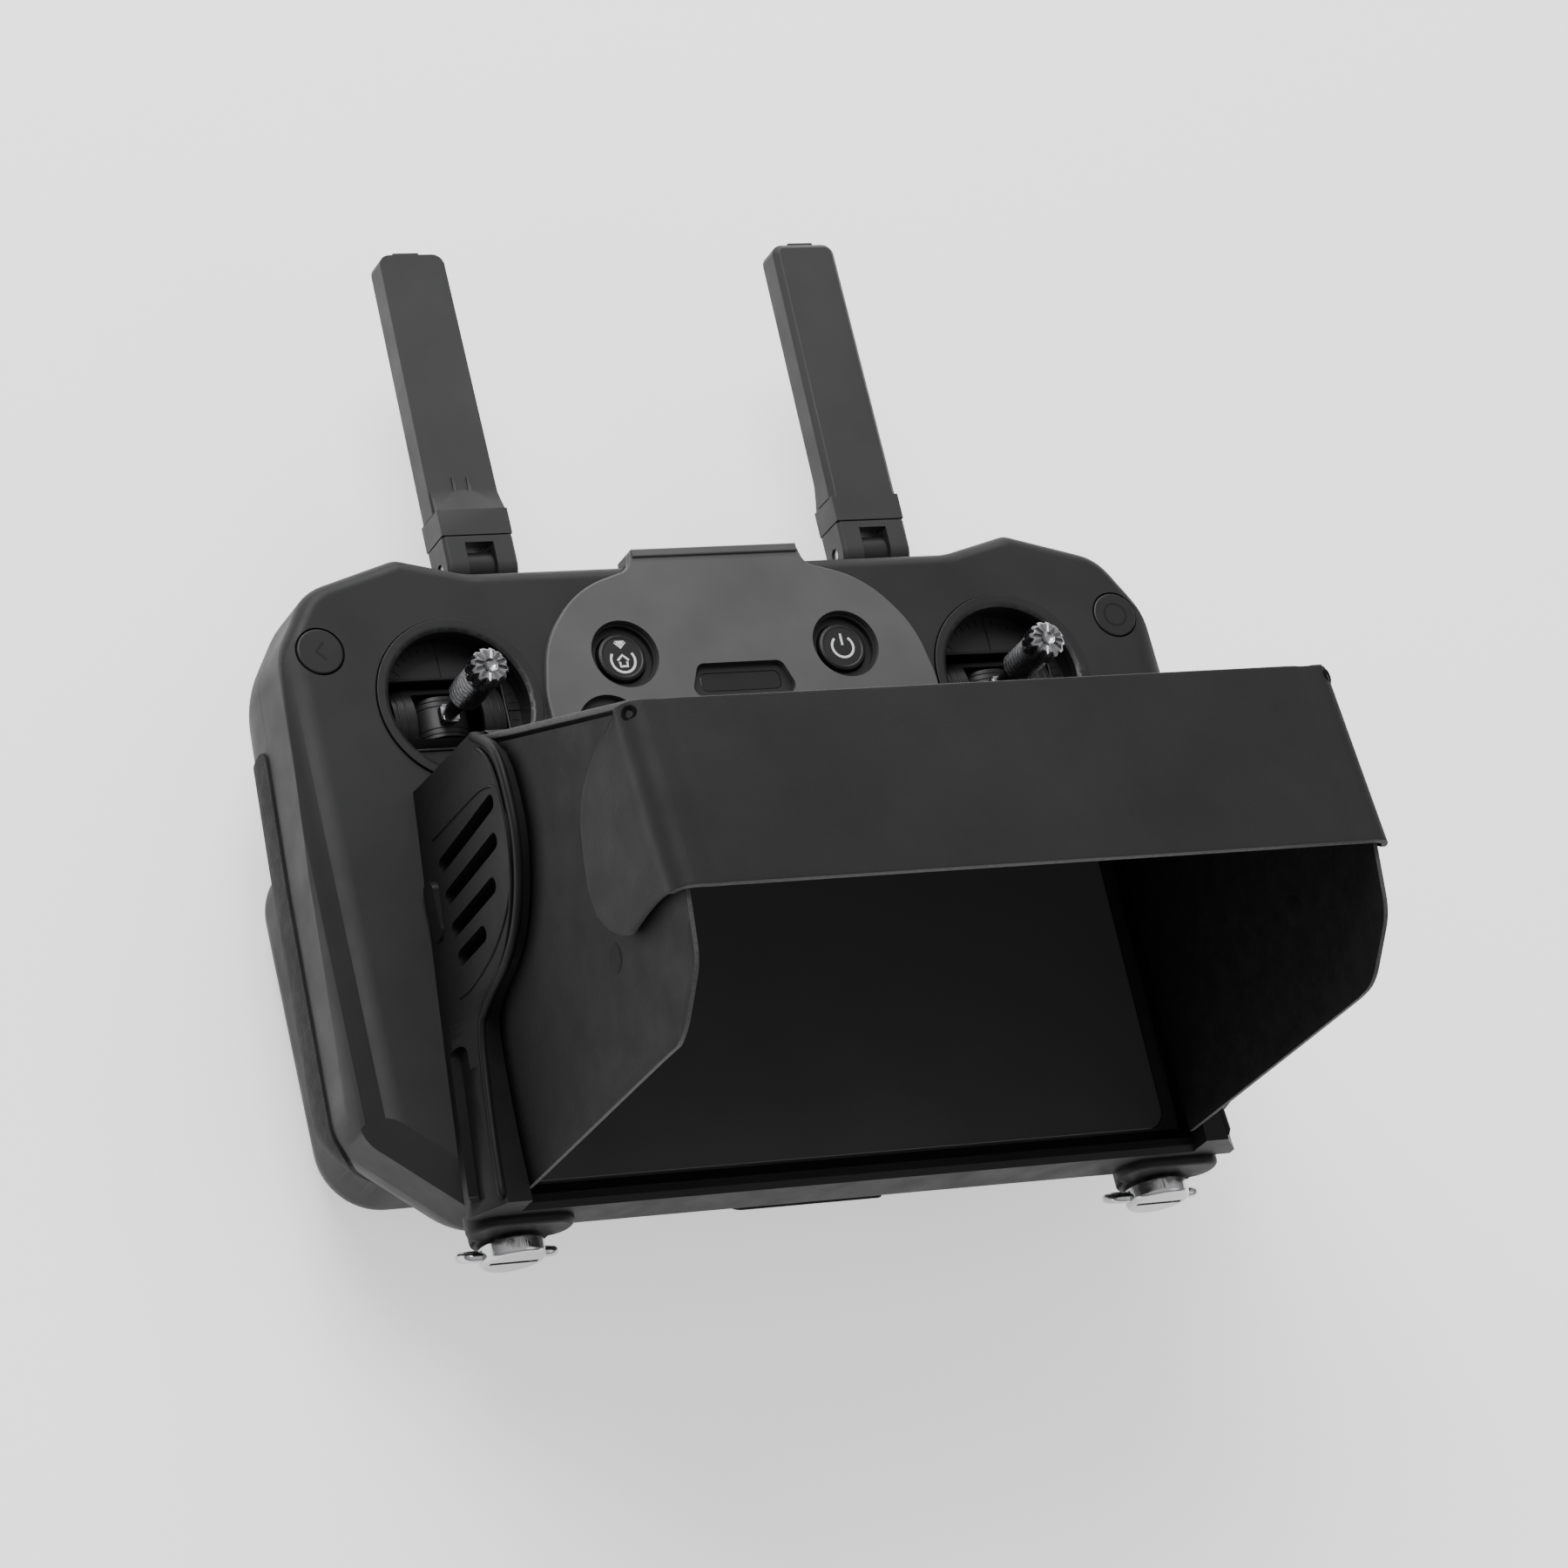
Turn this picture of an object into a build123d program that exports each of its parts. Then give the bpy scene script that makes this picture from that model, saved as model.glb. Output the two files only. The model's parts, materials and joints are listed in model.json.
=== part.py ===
from build123d import *
import math
import os

os.makedirs("parts", exist_ok=True)

# Controller lying on its back: +X right, +Y towards the antennas, +Z out of the screen.
# The origin is the middle of the flat rear face that it rests on. All lengths are in millimetres.

# ---- housing ----
FACE_Z = 62.0                 # flat front face
SEAM_Z = 44.0                 # parting line between the front and rear shells
REAR_Z = 18.0                 # flat rear wall behind the battery
WALL = 2.5
TOP_Y = 82.5
BOTTOM_Y = -80.0
# right half of the outline, from the top middle round to the bottom middle: x, y, corner radius
HALF_OUTLINE = [
    (66.0, 82.5, 20.0), (84.0, 87.0, 5.0), (109.0, 79.5, 14.0), (118.8, 64.0, 18.0),
    (121.5, 8.0, 60.0), (123.2, -57.2, 14.0), (95.2, -80.0, 14.0),
]
HALF_WIDTH = 123.2
# rear shell's sections: height, then how far its sides, top and bottom are drawn in
REAR_SECTIONS = [
    (SEAM_Z - 0.1, 0.0, 0.0, 0.3), (36.0, 0.3, 1.2, 3.0), (28.0, 2.5, 5.0, 7.0),
    (22.0, 7.0, 10.0, 10.0), (REAR_Z, 14.0, 16.0, 15.0),
]
REAR_HOLLOW = [
    (SEAM_Z + 0.1, 0.0, 0.0, 0.3), (36.0, 0.3, 1.2, 3.0), (28.0, 3.5, 6.0, 8.0),
    (REAR_Z + WALL, 10.5, 12.0, 12.0),
]
EDGE_R = 4.0                  # rounding of the front face's top and bottom edge
SIDE_R = 11.0                 # rounding along the two long sides
CORNER_NORMAL = -50.7         # direction that the bevelled lower corners face, in degrees
CORNER_REACH = 122.3          # distance of that bevel from the origin
CORNER_BEVEL = (7.0, 6.0)     # drop and width of the bevel
SWELL_X = 93.0                # palm swells on the back
SWELL_SIZE = (44.0, 92.0)
SWELL_Y = -16.0
GRIP_PROUD = 0.6              # how far the rubber grips stand out
GRIP_SUNK = 1.0               # and how deep they sit in the shell
GRIP_Y = (-60.0, 46.0)
GRIP_Z = (22.0, 43.2)
SHELL_SCREW_X = 46.0
SHELL_SCREW_Y = (66.0, -70.0)
POST_Z = 36.0                 # where the posts of the front shell end

# ---- screen ----
GLASS_HALF_X = 86.6
GLASS_Y = (-75.0, 22.0)
GLASS_T = 1.8
PANEL_T = 4.0

# ---- gimbals ----
GIMBAL = (75.6, 48.0)
RING_R = 21.4
RING_BORE_R = 18.2
PIVOT_DEPTH = 17.0            # stick pivot below the front face
YOKE_R = 10.0
YOKE_BORE_R = 8.6
YOKE_HALF = 14.5
YOKE_WINDOW = (8.8, 5.8)      # half-sizes of the opening that the drum shows through
CUP_WINDOW = (15.3, 9.2)      # half-sizes of the opening in the dished plate
HOUSE = (16.2, 10.9)          # inner half-sizes of the box under the plate
DRUM_R = 8.0
DRUM_HALF = 5.2
SHAFT_R = 1.9
STICK_R = 3.6
CROWN_R = 4.8
CROWN_TOP = 21.5              # top of the stick above the front face
YOKE_PIN_R = 1.5
DRUM_PIN_R = 1.2
PIN_GAP = 0.05                # running clearance of pins, radial

# ---- buttons on the face ----
ROUND_KEY = (108.9, 62.6)     # back and confirm keys
ROUND_KEY_R = 5.9
MAIN_KEY = (30.2, 57.5)       # home and power keys
MAIN_KEY_R = 6.3
MOAT_R = 8.2                  # sunk ring round the home and power keys
MOAT_DEPTH = 1.6
FLANGE = 0.9                  # collar that holds a key in its hole
PLATE_HOLE_R = 8.95
FIVE_WAY = (-38.0, 38.0)
FIVE_WAY_R = 5.2
FIVE_WAY_Z = FACE_Z - 7.0       # pivot of the five-way key
FIVE_WAY_GAP = 1.1            # room for it to tip
LED_HALF_X = 11.0
LED_Y = (47.0, 52.0)
KEY_GAP = 0.35

# ---- controls on the top edge and the back ----
TOP_Z = 33.0
TOP_KEY_X = 80.0
TOP_KEY_R = 5.0
PAUSE_X = -34.0
PAUSE_R = 4.0
SWITCH_X = -11.0
DIAL_X = 98.0
DIAL_Y = 73.0
DIAL_R = 8.0
SCROLL_X = 30.0
SCROLL_Y = 76.0
SCROLL_R = 6.0
REAR_KEY = (84.0, 52.0)
REAR_KEY_R = 5.0
PORT_HALF = 20.0
PORT_AT = (-75.4, 32.5)       # y, z of the middle of the socket cover
PORT_TALL = 7.5
PORT_LEAN = 27.0              # the cover leans back with the wall, in degrees

# ---- hood ----
PLATE_T = 1.6
PLATE_Z = FACE_Z + 0.1
COLLAR_Z = FACE_Z + 0.1
SHEET_T = 1.5                 # stiffened sheet of the hood
PANEL_OUT = 89.7              # outer face of the side panels
PANEL_ROOT_Z = 70.0
WALL_IN = 90.1                # inner face of the collar's side walls
TOP_WALL_Y = (22.6, 25.0)
TOP_WALL_Z = 98.0
ROOF_ROOT = (24.0, 99.2)      # y, z of the roof's hinge line
FOLD = (-2.0, 179.0)          # y, z of the fold between roof and visor
LIP = (-50.0, 185.5)          # y, z of the visor's free edge
MAGNET = (-50.0, 142.0)       # y, z of the closing magnet in each side panel
MAGNET_R = 3.6
MAGNET_T = 1.0
WING_IN = 90.6                # inner face of the visor's wings
# collar side wall: y, outer foot x, outer rim x, rim z; its slots: y, low z, high z
COLLAR_SECTIONS = [
    (25.0, 92.9, 91.4, 98.0), (14.0, 93.9, 92.4, 111.5), (-2.0, 95.4, 92.6, 114.0),
    (-14.0, 96.5, 92.6, 111.0), (-24.0, 97.4, 92.8, 104.5), (-31.0, 98.1, 93.2, 95.0),
    (-36.0, 98.5, 93.7, 81.0), (-42.0, 99.1, 94.4, 75.5), (-64.0, 101.0, 96.0, 73.5),
    (-83.0, 102.5, 97.2, 73.5),
]
COLLAR_SLOTS = [(1.5, 71.0, 105.0), (-7.0, 72.0, 103.0), (-15.5, 73.0, 98.0), (-23.0, 74.0, 89.0)]
SLOT_HALF = 2.0
GROOVE_Y = (-80.0, -42.0)     # long groove low on each side wall
GROOVE_Z = (64.5, 69.5)
GROOVE_DEPTH = 1.8

# ---- strap screws ----
# corner bosses of the collar that the screws clamp: half-width, low z, high z, corner radius
BOSS_PARTS = [(9.8, 41.0, 60.0, 8.5), (13.5, 50.5, 63.0, 6.0)]
BOSS_Y = -85.1
SCREW = (87.0, 49.0)          # x, z of the axis
SCREW_R = 2.5
HEAD_R = 8.0
HEAD_Y = (-90.0, -86.0)
LOOP_HALF = 11.4              # half-width of the wire loop
LOOP_DEPTH = 10.8
LOOP_LEAN = 20.0              # the loop rests tipped in under the housing, in degrees
WIRE_R = 1.2
LOOP_Y = -88.0

# ---- antennas ----
ANT_X = 54.5
ANT_Z = 42.0
ANT_PIN_Y = 91.0
ANT_PIN_R = 1.6
ANT_SEAM_Y = 98.0
ANT_LENGTH = 79.0             # paddle above the seam
ANT_FOOT = 7.0                # thick foot of the paddle
ANT_WIDTH = 19.0
ANT_T = 8.0
KNUCKLE_T = 11.0
TONGUE_HALF = 3.4
LUG_R = 4.4
SPIGOT_R = 3.0
SEAM_GAP = 0.3                # between knuckle and paddle

# ---- back ----
BATTERY = (92.0, 84.0, 17.6)
MOUNT_HOLES = (50.0, 22.0)    # M4 pattern, x and y spacing
MOUNT_HOLES_Y = 54.0
M4_R = 2.0
MOUNT_HOLE_DEPTH = 8.0
SLOTS = 9
SLOT_PITCH = 6.0
SLOT_Y = (29.0, 38.0)


def at(x, y, z=0.0):
    return Pos(x, y, z)


def drum(radius, x, y, z0, z1):
    """Upright cylinder between two heights."""
    return at(x, y, (z0 + z1) / 2) * Cylinder(radius, z1 - z0)


def drum_y(radius, x, z, y0, y1):
    """Cylinder along Y between two places."""
    return at(x, (y0 + y1) / 2, z) * Rot(90, 0, 0) * Cylinder(radius, y1 - y0)


def drum_x(radius, y, z, x0, x1):
    """Cylinder along X between two places."""
    return at((x0 + x1) / 2, y, z) * Rot(0, 90, 0) * Cylinder(radius, x1 - x0)


def block(x0, x1, y0, y1, z0, z1):
    return at((x0 + x1) / 2, (y0 + y1) / 2, (z0 + z1) / 2) * Box(x1 - x0, y1 - y0, z1 - z0)


def soft_block(x0, x1, y0, y1, z0, z1, radius, axis=Axis.Z):
    """Block with the edges along one axis rounded."""
    body = block(x0, x1, y0, y1, z0, z1)
    return fillet(body.edges().filter_by(axis), radius)


def both_sides(shape):
    """A shape and its mirror image in the middle plane."""
    return shape, mirror(shape, about=Plane.YZ)


def rounded_face(points):
    """Closed face from x, y, corner radius; a zero radius keeps the corner sharp."""
    path = FilletPolyline(*[(x, y) for x, y, r in points], radius=[r for x, y, r in points], close=True)
    return make_face(path)


def housing_outline(sides=0.0, top=None, bottom=None):
    """Outline of the housing, drawn in at its sides, top and bottom."""
    top = sides if top is None else top
    bottom = sides if bottom is None else bottom
    narrowed = 1 - sides / HALF_WIDTH
    right = [(x * narrowed, y - top if y > 0 else y + bottom, r) for x, y, r in HALF_OUTLINE]
    left = [(-x, y, r) for x, y, r in reversed(right)]
    return rounded_face(right + left)


def housing_loft(sections, depth):
    """Solid through sections of the housing, each drawn in by a further depth."""
    outlines = []
    for z, *insets in sections:
        outlines.append(at(0, 0, z) * housing_outline(*[inset + depth for inset in insets]))
    return loft(outlines)


# ------------------------------------------------------------------ housing
def face_form(inset=0.0):
    """Limits of the front shell: soft long sides and bevelled lower corners, drawn in by an inset."""
    top, far = FACE_Z - inset, 150
    form = soft_block(inset - HALF_WIDTH, HALF_WIDTH - inset, -far, far, 0, top, SIDE_R - inset, Axis.Y)
    corner = block(-far, CORNER_REACH - inset, -far, far, 0, top)
    ridge = corner.edges().filter_by(Axis.Y).group_by(Axis.X)[-1].sort_by(Axis.Z)[-1]
    corner = Rot(0, 0, CORNER_NORMAL) * chamfer(ridge, *CORNER_BEVEL)
    return form & corner & mirror(corner, about=Plane.YZ)


def front_shell():
    shell = extrude(housing_outline(), FACE_Z - SEAM_Z)
    shell = fillet(shell.faces().sort_by(Axis.Z)[-1].outer_wire().edges(), EDGE_R)
    shell = at(0, 0, SEAM_Z) * shell & face_form()
    cavity = extrude(housing_outline(WALL), FACE_Z - WALL - SEAM_Z)
    shell -= at(0, 0, SEAM_Z) * cavity & face_form(WALL)
    # screen recess and window
    gap = 0.2
    shell -= soft_block(-GLASS_HALF_X - gap, GLASS_HALF_X + gap, GLASS_Y[0] - gap, GLASS_Y[1] + gap,
                        FACE_Z - GLASS_T - 0.1, FACE_Z + 1, 5.4)
    shell -= block(-81, 81, -69, 17, FACE_Z - 4, FACE_Z + 1)
    for side in (-1, 1):
        shell -= drum(RING_R + 0.25, side * GIMBAL[0], GIMBAL[1], SEAM_Z, FACE_Z + 1)
        shell -= drum(ROUND_KEY_R + KEY_GAP, side * ROUND_KEY[0], ROUND_KEY[1], SEAM_Z, FACE_Z + 1)
        shell -= drum(ROUND_KEY_R + FLANGE + 0.4, side * ROUND_KEY[0], ROUND_KEY[1],
                      SEAM_Z, FACE_Z - WALL - 1.8)
        shell -= drum(MAIN_KEY_R + KEY_GAP, side * MAIN_KEY[0], MAIN_KEY[1], SEAM_Z, FACE_Z + 1)
        shell -= drum(MOAT_R, side * MAIN_KEY[0], MAIN_KEY[1], FACE_Z - MOAT_DEPTH, FACE_Z + 1)
        # thread boss for the strap screw, inside the bottom wall
        shell += block(side * SCREW[0] - 6, side * SCREW[0] + 6, -78, -71,
                       SEAM_Z + 0.1, FACE_Z - WALL + 0.2)
        shell -= drum_y(SCREW_R + 0.05, side * SCREW[0], SCREW[1], -90, -60)
        # slot for the antenna's tongue
        shell -= block(side * ANT_X - TONGUE_HALF - 0.1, side * ANT_X + TONGUE_HALF + 0.1, 74, 95,
                       SEAM_Z - 1, ANT_Z + 4.6)
        # posts that the shell screws bite into
        for y in SHELL_SCREW_Y:
            shell += drum(3.0, side * SHELL_SCREW_X, y, POST_Z, FACE_Z - WALL + 0.3)
            shell -= drum(1.5, side * SHELL_SCREW_X, y, POST_Z - 1, FACE_Z - WALL - 4)
    shell -= drum(FIVE_WAY_R + FIVE_WAY_GAP, FIVE_WAY[0], FIVE_WAY[1], SEAM_Z, FACE_Z + 1)
    shell -= soft_block(-LED_HALF_X, LED_HALF_X, LED_Y[0], LED_Y[1], SEAM_Z, FACE_Z + 1, 1.8)
    return shell


def rear_core(depth=0.0):
    """Solid form of the rear shell's main volume, drawn in by a depth."""
    return housing_loft(REAR_SECTIONS, depth)


def palm_swells(depth=0.0):
    """The two rounded swells behind the grips, drawn in by a depth."""
    half_x = SWELL_SIZE[0] / 2 - depth
    half_y = SWELL_SIZE[1] / 2 - depth
    swell = block(SWELL_X - half_x, SWELL_X + half_x, SWELL_Y - half_y, SWELL_Y + half_y, 3.0 + depth, 34.0)
    swell = fillet(swell.edges().filter_by(Axis.Z), 16.0 - depth)
    swell = fillet(swell.faces().sort_by(Axis.Z)[0].outer_wire().edges(), 9.0 - depth)
    return both_sides(swell)


def side_grip():
    """Rubber grip that wraps one long side of the housing below the parting line."""
    band = rear_core(-GRIP_PROUD)
    band &= soft_block(108, 132, GRIP_Y[0], GRIP_Y[1], GRIP_Z[0], GRIP_Z[1], 4.0, Axis.X)
    band -= rear_core(GRIP_SUNK)
    for swell in palm_swells():
        band -= swell
    return max(band.solids(), key=lambda piece: piece.volume)


def rear_shell(grips):
    shell = rear_core()
    for swell in palm_swells():
        shell += swell
    shell -= housing_loft(REAR_HOLLOW, WALL)
    for hollow in palm_swells(WALL):
        shell -= hollow
    for grip in grips:
        shell -= grip
    for side in (-1, 1):
        # holes for the controls on the top edge and on the back
        shell -= drum_y(TOP_KEY_R + KEY_GAP, side * TOP_KEY_X, TOP_Z, 58, 95)
        shell -= block(side * DIAL_X - 4.9, side * DIAL_X + 4.9, 62, 95, TOP_Z - 8.3, TOP_Z + 8.3)
        shell -= drum(REAR_KEY_R + KEY_GAP, side * REAR_KEY[0], REAR_KEY[1], 5, 40)
        # cradle of the thumb dial
        for x in (DIAL_X - 6.0, DIAL_X + 4.9):
            middle = side * (x + 0.55)
            shell += block(middle - 0.55, middle + 0.55, DIAL_Y - 3, DIAL_Y + 4, TOP_Z - 8, TOP_Z + 8)
        shell -= drum_x(1.0, DIAL_Y, TOP_Z, side * DIAL_X - 6.4, side * DIAL_X + 6.4)
        shell += antenna_tongue(side)
    shell -= drum_y(PAUSE_R + KEY_GAP, PAUSE_X, TOP_Z, 58, 95)
    shell -= block(SWITCH_X - 10, SWITCH_X + 10, 58, 95, TOP_Z - 2.4, TOP_Z + 2.4)
    shell -= block(SCROLL_X - 3.2, SCROLL_X + 3.2, 62, 95, TOP_Z - 6.3, TOP_Z + 6.3)
    for x in (SCROLL_X - 4.4, SCROLL_X + 3.3):
        shell += block(x, x + 1.1, SCROLL_Y - 3, SCROLL_Y + 3, TOP_Z - 6, TOP_Z + 6)
    shell -= drum_x(1.0, SCROLL_Y, TOP_Z, SCROLL_X - 4.6, SCROLL_X + 4.6)
    for i in range(SLOTS):
        x = (i - (SLOTS - 1) / 2) * SLOT_PITCH
        shell -= soft_block(x - 1.5, x + 1.5, SLOT_Y[0], SLOT_Y[1], 10, REAR_Z + 4, 1.4)
    for sx in (-1, 1):
        for sy in (-1, 1):
            x = sx * MOUNT_HOLES[0] / 2
            y = MOUNT_HOLES_Y + sy * MOUNT_HOLES[1] / 2
            shell += drum(4.0, x, y, REAR_Z + 0.1, REAR_Z + MOUNT_HOLE_DEPTH + 2)
            shell -= drum(M4_R, x, y, REAR_Z - 1, REAR_Z + MOUNT_HOLE_DEPTH)
    for sx in (-1, 1):
        for y in SHELL_SCREW_Y:
            shell += drum(4.5, sx * SHELL_SCREW_X, y, 27.0, POST_Z - 0.2)
            shell -= drum(3.0, sx * SHELL_SCREW_X, y, 5.0, 30.0)
            shell -= drum(1.7, sx * SHELL_SCREW_X, y, 5.0, 40.0)
    shell -= at(0, *PORT_AT) * Rot(PORT_LEAN, 0, 0) * block(-PORT_HALF - 0.3, PORT_HALF + 0.3, -12, 6,
                                                            -PORT_TALL / 2 - 0.3, PORT_TALL / 2 + 0.3)
    return max(shell.solids(), key=lambda piece: piece.volume)


def shell_screws():
    """Four countersunk screws that hold the two shells together."""
    screws = []
    for sx in (-1, 1):
        for y in SHELL_SCREW_Y:
            screw = drum(2.8, sx * SHELL_SCREW_X, y, 28.0, 30.0)
            screw += drum(1.4, sx * SHELL_SCREW_X, y, 29.9, FACE_Z - WALL - 5)
            screw -= at(sx * SHELL_SCREW_X, y, 28.0) * Box(3.2, 0.7, 1.6)
            screw -= at(sx * SHELL_SCREW_X, y, 28.0) * Box(0.7, 3.2, 1.6)
            screws.append(screw)
    return Compound(screws)


def rear_feet():
    """Rubber foot on each palm swell."""
    foot = soft_block(SWELL_X - 10, SWELL_X + 10, SWELL_Y - 26, SWELL_Y + 26, 0.0, 3.0, 8.0)
    return Compound(list(both_sides(foot)))


# ------------------------------------------------------------------ screen and inner pieces
def screen_glass():
    glass = soft_block(-GLASS_HALF_X, GLASS_HALF_X, GLASS_Y[0], GLASS_Y[1], FACE_Z - GLASS_T, FACE_Z, 5.2)
    return chamfer(glass.faces().sort_by(Axis.Z)[-1].outer_wire().edges(), 0.25)


def display_panel():
    return block(-79, 79, -67, 15, FACE_Z - GLASS_T - 0.3 - PANEL_T, FACE_Z - GLASS_T - 0.3)


def main_board():
    board = block(-46, 46, -62, 40, 38.0, 39.6)
    board += block(-22, 22, -30, 12, 39.5, 42.0)
    board += block(-40, -28, 20, 34, 39.5, 43.0)
    board += block(26, 40, -52, -40, 39.5, 41.5)
    return board


def battery_pack():
    """Clip-on pack whose flat face is what the controller rests on."""
    bx, by, bz = BATTERY
    pack = soft_block(-bx / 2, bx / 2, -by / 2 - 16, by / 2 - 16, 0.0, bz, 8.0)
    pack = fillet(pack.faces().sort_by(Axis.Z)[0].outer_wire().edges(), 4.0)
    pack -= block(-9.2, 9.2, by / 2 - 16 - 7.4, by / 2, 8.0, 30)
    return pack


def battery_latch():
    by = BATTERY[1]
    return soft_block(-8.6, 8.6, by / 2 - 16 - 6.6, by / 2 - 16 + 1.0, 9.0, 15.5, 1.5, Axis.Y)


# ------------------------------------------------------------------ gimbals
def gimbal_ring():
    ring = drum(RING_R, 0, 0, -2.5, 0.7) - drum(RING_BORE_R, 0, 0, -3, 1)
    top = ring.faces().sort_by(Axis.Z)[-1]
    return chamfer(top.inner_wires()[0].edges(), 1.4, 0.9)


def gimbal_cup():
    """Dished plate round the stick, with the housing that carries the yoke."""
    cup = drum(21.2, 0, 0, -10, -2.6) - drum(19.0, 0, 0, -8, -2)
    house_x, house_y = HOUSE
    house = block(-house_x - 2, house_x + 2, -house_y - 1.7, house_y + 1.7, -29, -9.9)
    cup += house - block(-house_x, house_x, -house_y, house_y, -30, -9)
    cup -= block(-CUP_WINDOW[0], CUP_WINDOW[0], -CUP_WINDOW[1], CUP_WINDOW[1], -11, -7)
    cup -= drum_x(YOKE_PIN_R + PIN_GAP, 0, -PIVOT_DEPTH, -20, 20)
    # cross-hair lines
    for angle in (0, 90):
        cup -= Rot(0, 0, angle) * block(-19, 19, -0.2, 0.2, -8.3, -7.9)
    return cup


def gimbal_yoke():
    """Curved cover with a slot for the stick; it tips about X."""
    yoke = drum_x(YOKE_R, 0, 0, -YOKE_HALF, YOKE_HALF)
    yoke -= drum_x(YOKE_BORE_R, 0, 0, -YOKE_HALF + 1.4, YOKE_HALF - 1.4)
    yoke -= block(-YOKE_HALF - 1, YOKE_HALF + 1, -12, 12, -12, -3.2)
    yoke -= soft_block(-YOKE_WINDOW[0], YOKE_WINDOW[0], -YOKE_WINDOW[1], YOKE_WINDOW[1], 0, 12, 0.8)
    yoke += drum_x(YOKE_PIN_R, 0, 0, -HOUSE[0] - 1.8, -YOKE_HALF + 0.1)
    yoke += drum_x(YOKE_PIN_R, 0, 0, YOKE_HALF - 0.1, HOUSE[0] + 1.8)
    yoke -= drum_y(DRUM_PIN_R + PIN_GAP, 0, 0, -12, 12)
    return at(0, 0, -PIVOT_DEPTH) * yoke


def gimbal_drum():
    """Inner drum that tips about Y and carries the stick."""
    roller = drum_y(DRUM_R, 0, 0, -DRUM_HALF, DRUM_HALF)
    roller -= block(-12, 12, -12, 12, -12, -3.0)
    roller += drum_y(DRUM_PIN_R, 0, 0, -9.7, 9.7)
    roller += drum(SHAFT_R, 0, 0, 0, PIVOT_DEPTH + 4)
    return at(0, 0, -PIVOT_DEPTH) * roller


def stick_sleeve():
    """Threaded sleeve of the stick, in two lengths screwed together."""
    sleeve = drum(2.9, 0, 0, 1.0, 3.5)
    sleeve += drum(STICK_R, 0, 0, 3.0, 16.0)
    for i in range(9):
        z = 4.0 + 1.25 * i
        sleeve -= drum(STICK_R + 1, 0, 0, z, z + 0.45) - drum(STICK_R - 0.35, 0, 0, z - 0.1, z + 0.55)
    sleeve -= drum(SHAFT_R + 0.02, 0, 0, -1, 4.05)
    return sleeve


def stick_crown():
    """Serrated crown with a dimple."""
    crown = drum(CROWN_R, 0, 0, 16.05, CROWN_TOP)
    crown = chamfer(crown.faces().sort_by(Axis.Z)[-1].edges(), 1.0)
    for i in range(12):
        notch = at(CROWN_R + 0.2, 0, 19.0) * Rot(0, 0, 45) * Box(1.5, 1.5, 8)
        crown -= Rot(0, 0, 30 * i) * notch
        groove = at(3.4, 0, CROWN_TOP) * Rot(45, 0, 0) * Box(3.4, 0.7, 0.7)
        crown -= Rot(0, 0, 30 * i + 15) * groove
    crown -= at(0, 0, CROWN_TOP + 1.6) * Sphere(2.4)
    return crown


# ------------------------------------------------------------------ keys, dials and switches
def face_key(x, y, radius, top):
    """Round key with a retaining flange under the shell."""
    key = drum(radius, x, y, FACE_Z - 7.5, top)
    key = fillet(key.faces().sort_by(Axis.Z)[-1].edges(), 0.5)
    key += drum(radius + FLANGE, x, y, FACE_Z - 7.5, FACE_Z - WALL - 2.6)
    return key


def led_bar():
    return soft_block(-LED_HALF_X, LED_HALF_X, LED_Y[0], LED_Y[1], FACE_Z - 4, FACE_Z, 1.8)


def five_way_ring():
    """Ring under the five-way key that lets it tip about X."""
    x, y = FIVE_WAY
    ring = drum(5.6, x, y, FIVE_WAY_Z - 0.8, FIVE_WAY_Z + 0.8)
    ring -= drum(3.4, x, y, FIVE_WAY_Z - 2, FIVE_WAY_Z + 2)
    return ring - drum_y(0.8 + PIN_GAP, x, FIVE_WAY_Z, y - 6, y + 6)


def five_way_key():
    """Dished key on a stem; it tips about Y in its ring."""
    x, y = FIVE_WAY
    key = drum(FIVE_WAY_R, x, y, FACE_Z - 3.0, FACE_Z + 0.6)
    key = fillet(key.faces().sort_by(Axis.Z)[-1].edges(), 1.0)
    key -= at(x, y, FACE_Z + 9.0) * Sphere(9.2)
    key += drum(2.0, x, y, FIVE_WAY_Z - 1.2, FACE_Z - 2.9)
    return key + drum_y(0.8, x, FIVE_WAY_Z, y - 5.2, y + 5.2)


def top_key(x, radius, surface_y):
    """Round key on the top edge, standing just proud of the surface there."""
    key = drum_y(radius, x, TOP_Z, surface_y - 7.0, surface_y + 1.6)
    return fillet(key.faces().sort_by(Axis.Y)[-1].edges(), 0.8)


def thumb_dial(x, radius, half, y):
    """Knurled wheel that turns about X."""
    wheel = drum_x(radius, y, TOP_Z, x - half, x + half)
    wheel = chamfer(wheel.edges().filter_by(GeomType.CIRCLE), 0.6)
    for i in range(24):
        groove = at(0, radius + 0.25, 0) * Rot(45, 0, 0) * Box(2 * half + 1, 0.9, 0.9)
        wheel -= at(x, y, TOP_Z) * Rot(15 * i, 0, 0) * groove
    wheel -= drum_x(1.0 + PIN_GAP, y, TOP_Z, x - half - 1, x + half + 1)
    return wheel


def dial_axle(x, half, y):
    return drum_x(1.0, y, TOP_Z, x - half, x + half)


def mode_switch():
    """Three-position slide switch."""
    knob = soft_block(SWITCH_X - 3.4, SWITCH_X + 3.4, 77.0, 83.4, TOP_Z - 2.0, TOP_Z + 2.0, 0.6)
    return knob + block(SWITCH_X - 5.5, SWITCH_X + 5.5, 73.5, 77.1, TOP_Z - 2.0, TOP_Z + 2.0)


def rear_key(x):
    key = drum(REAR_KEY_R, x, REAR_KEY[1], REAR_Z - 2.0, REAR_Z + 7.0)
    return fillet(key.faces().sort_by(Axis.Z)[0].edges(), 0.8)


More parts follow.
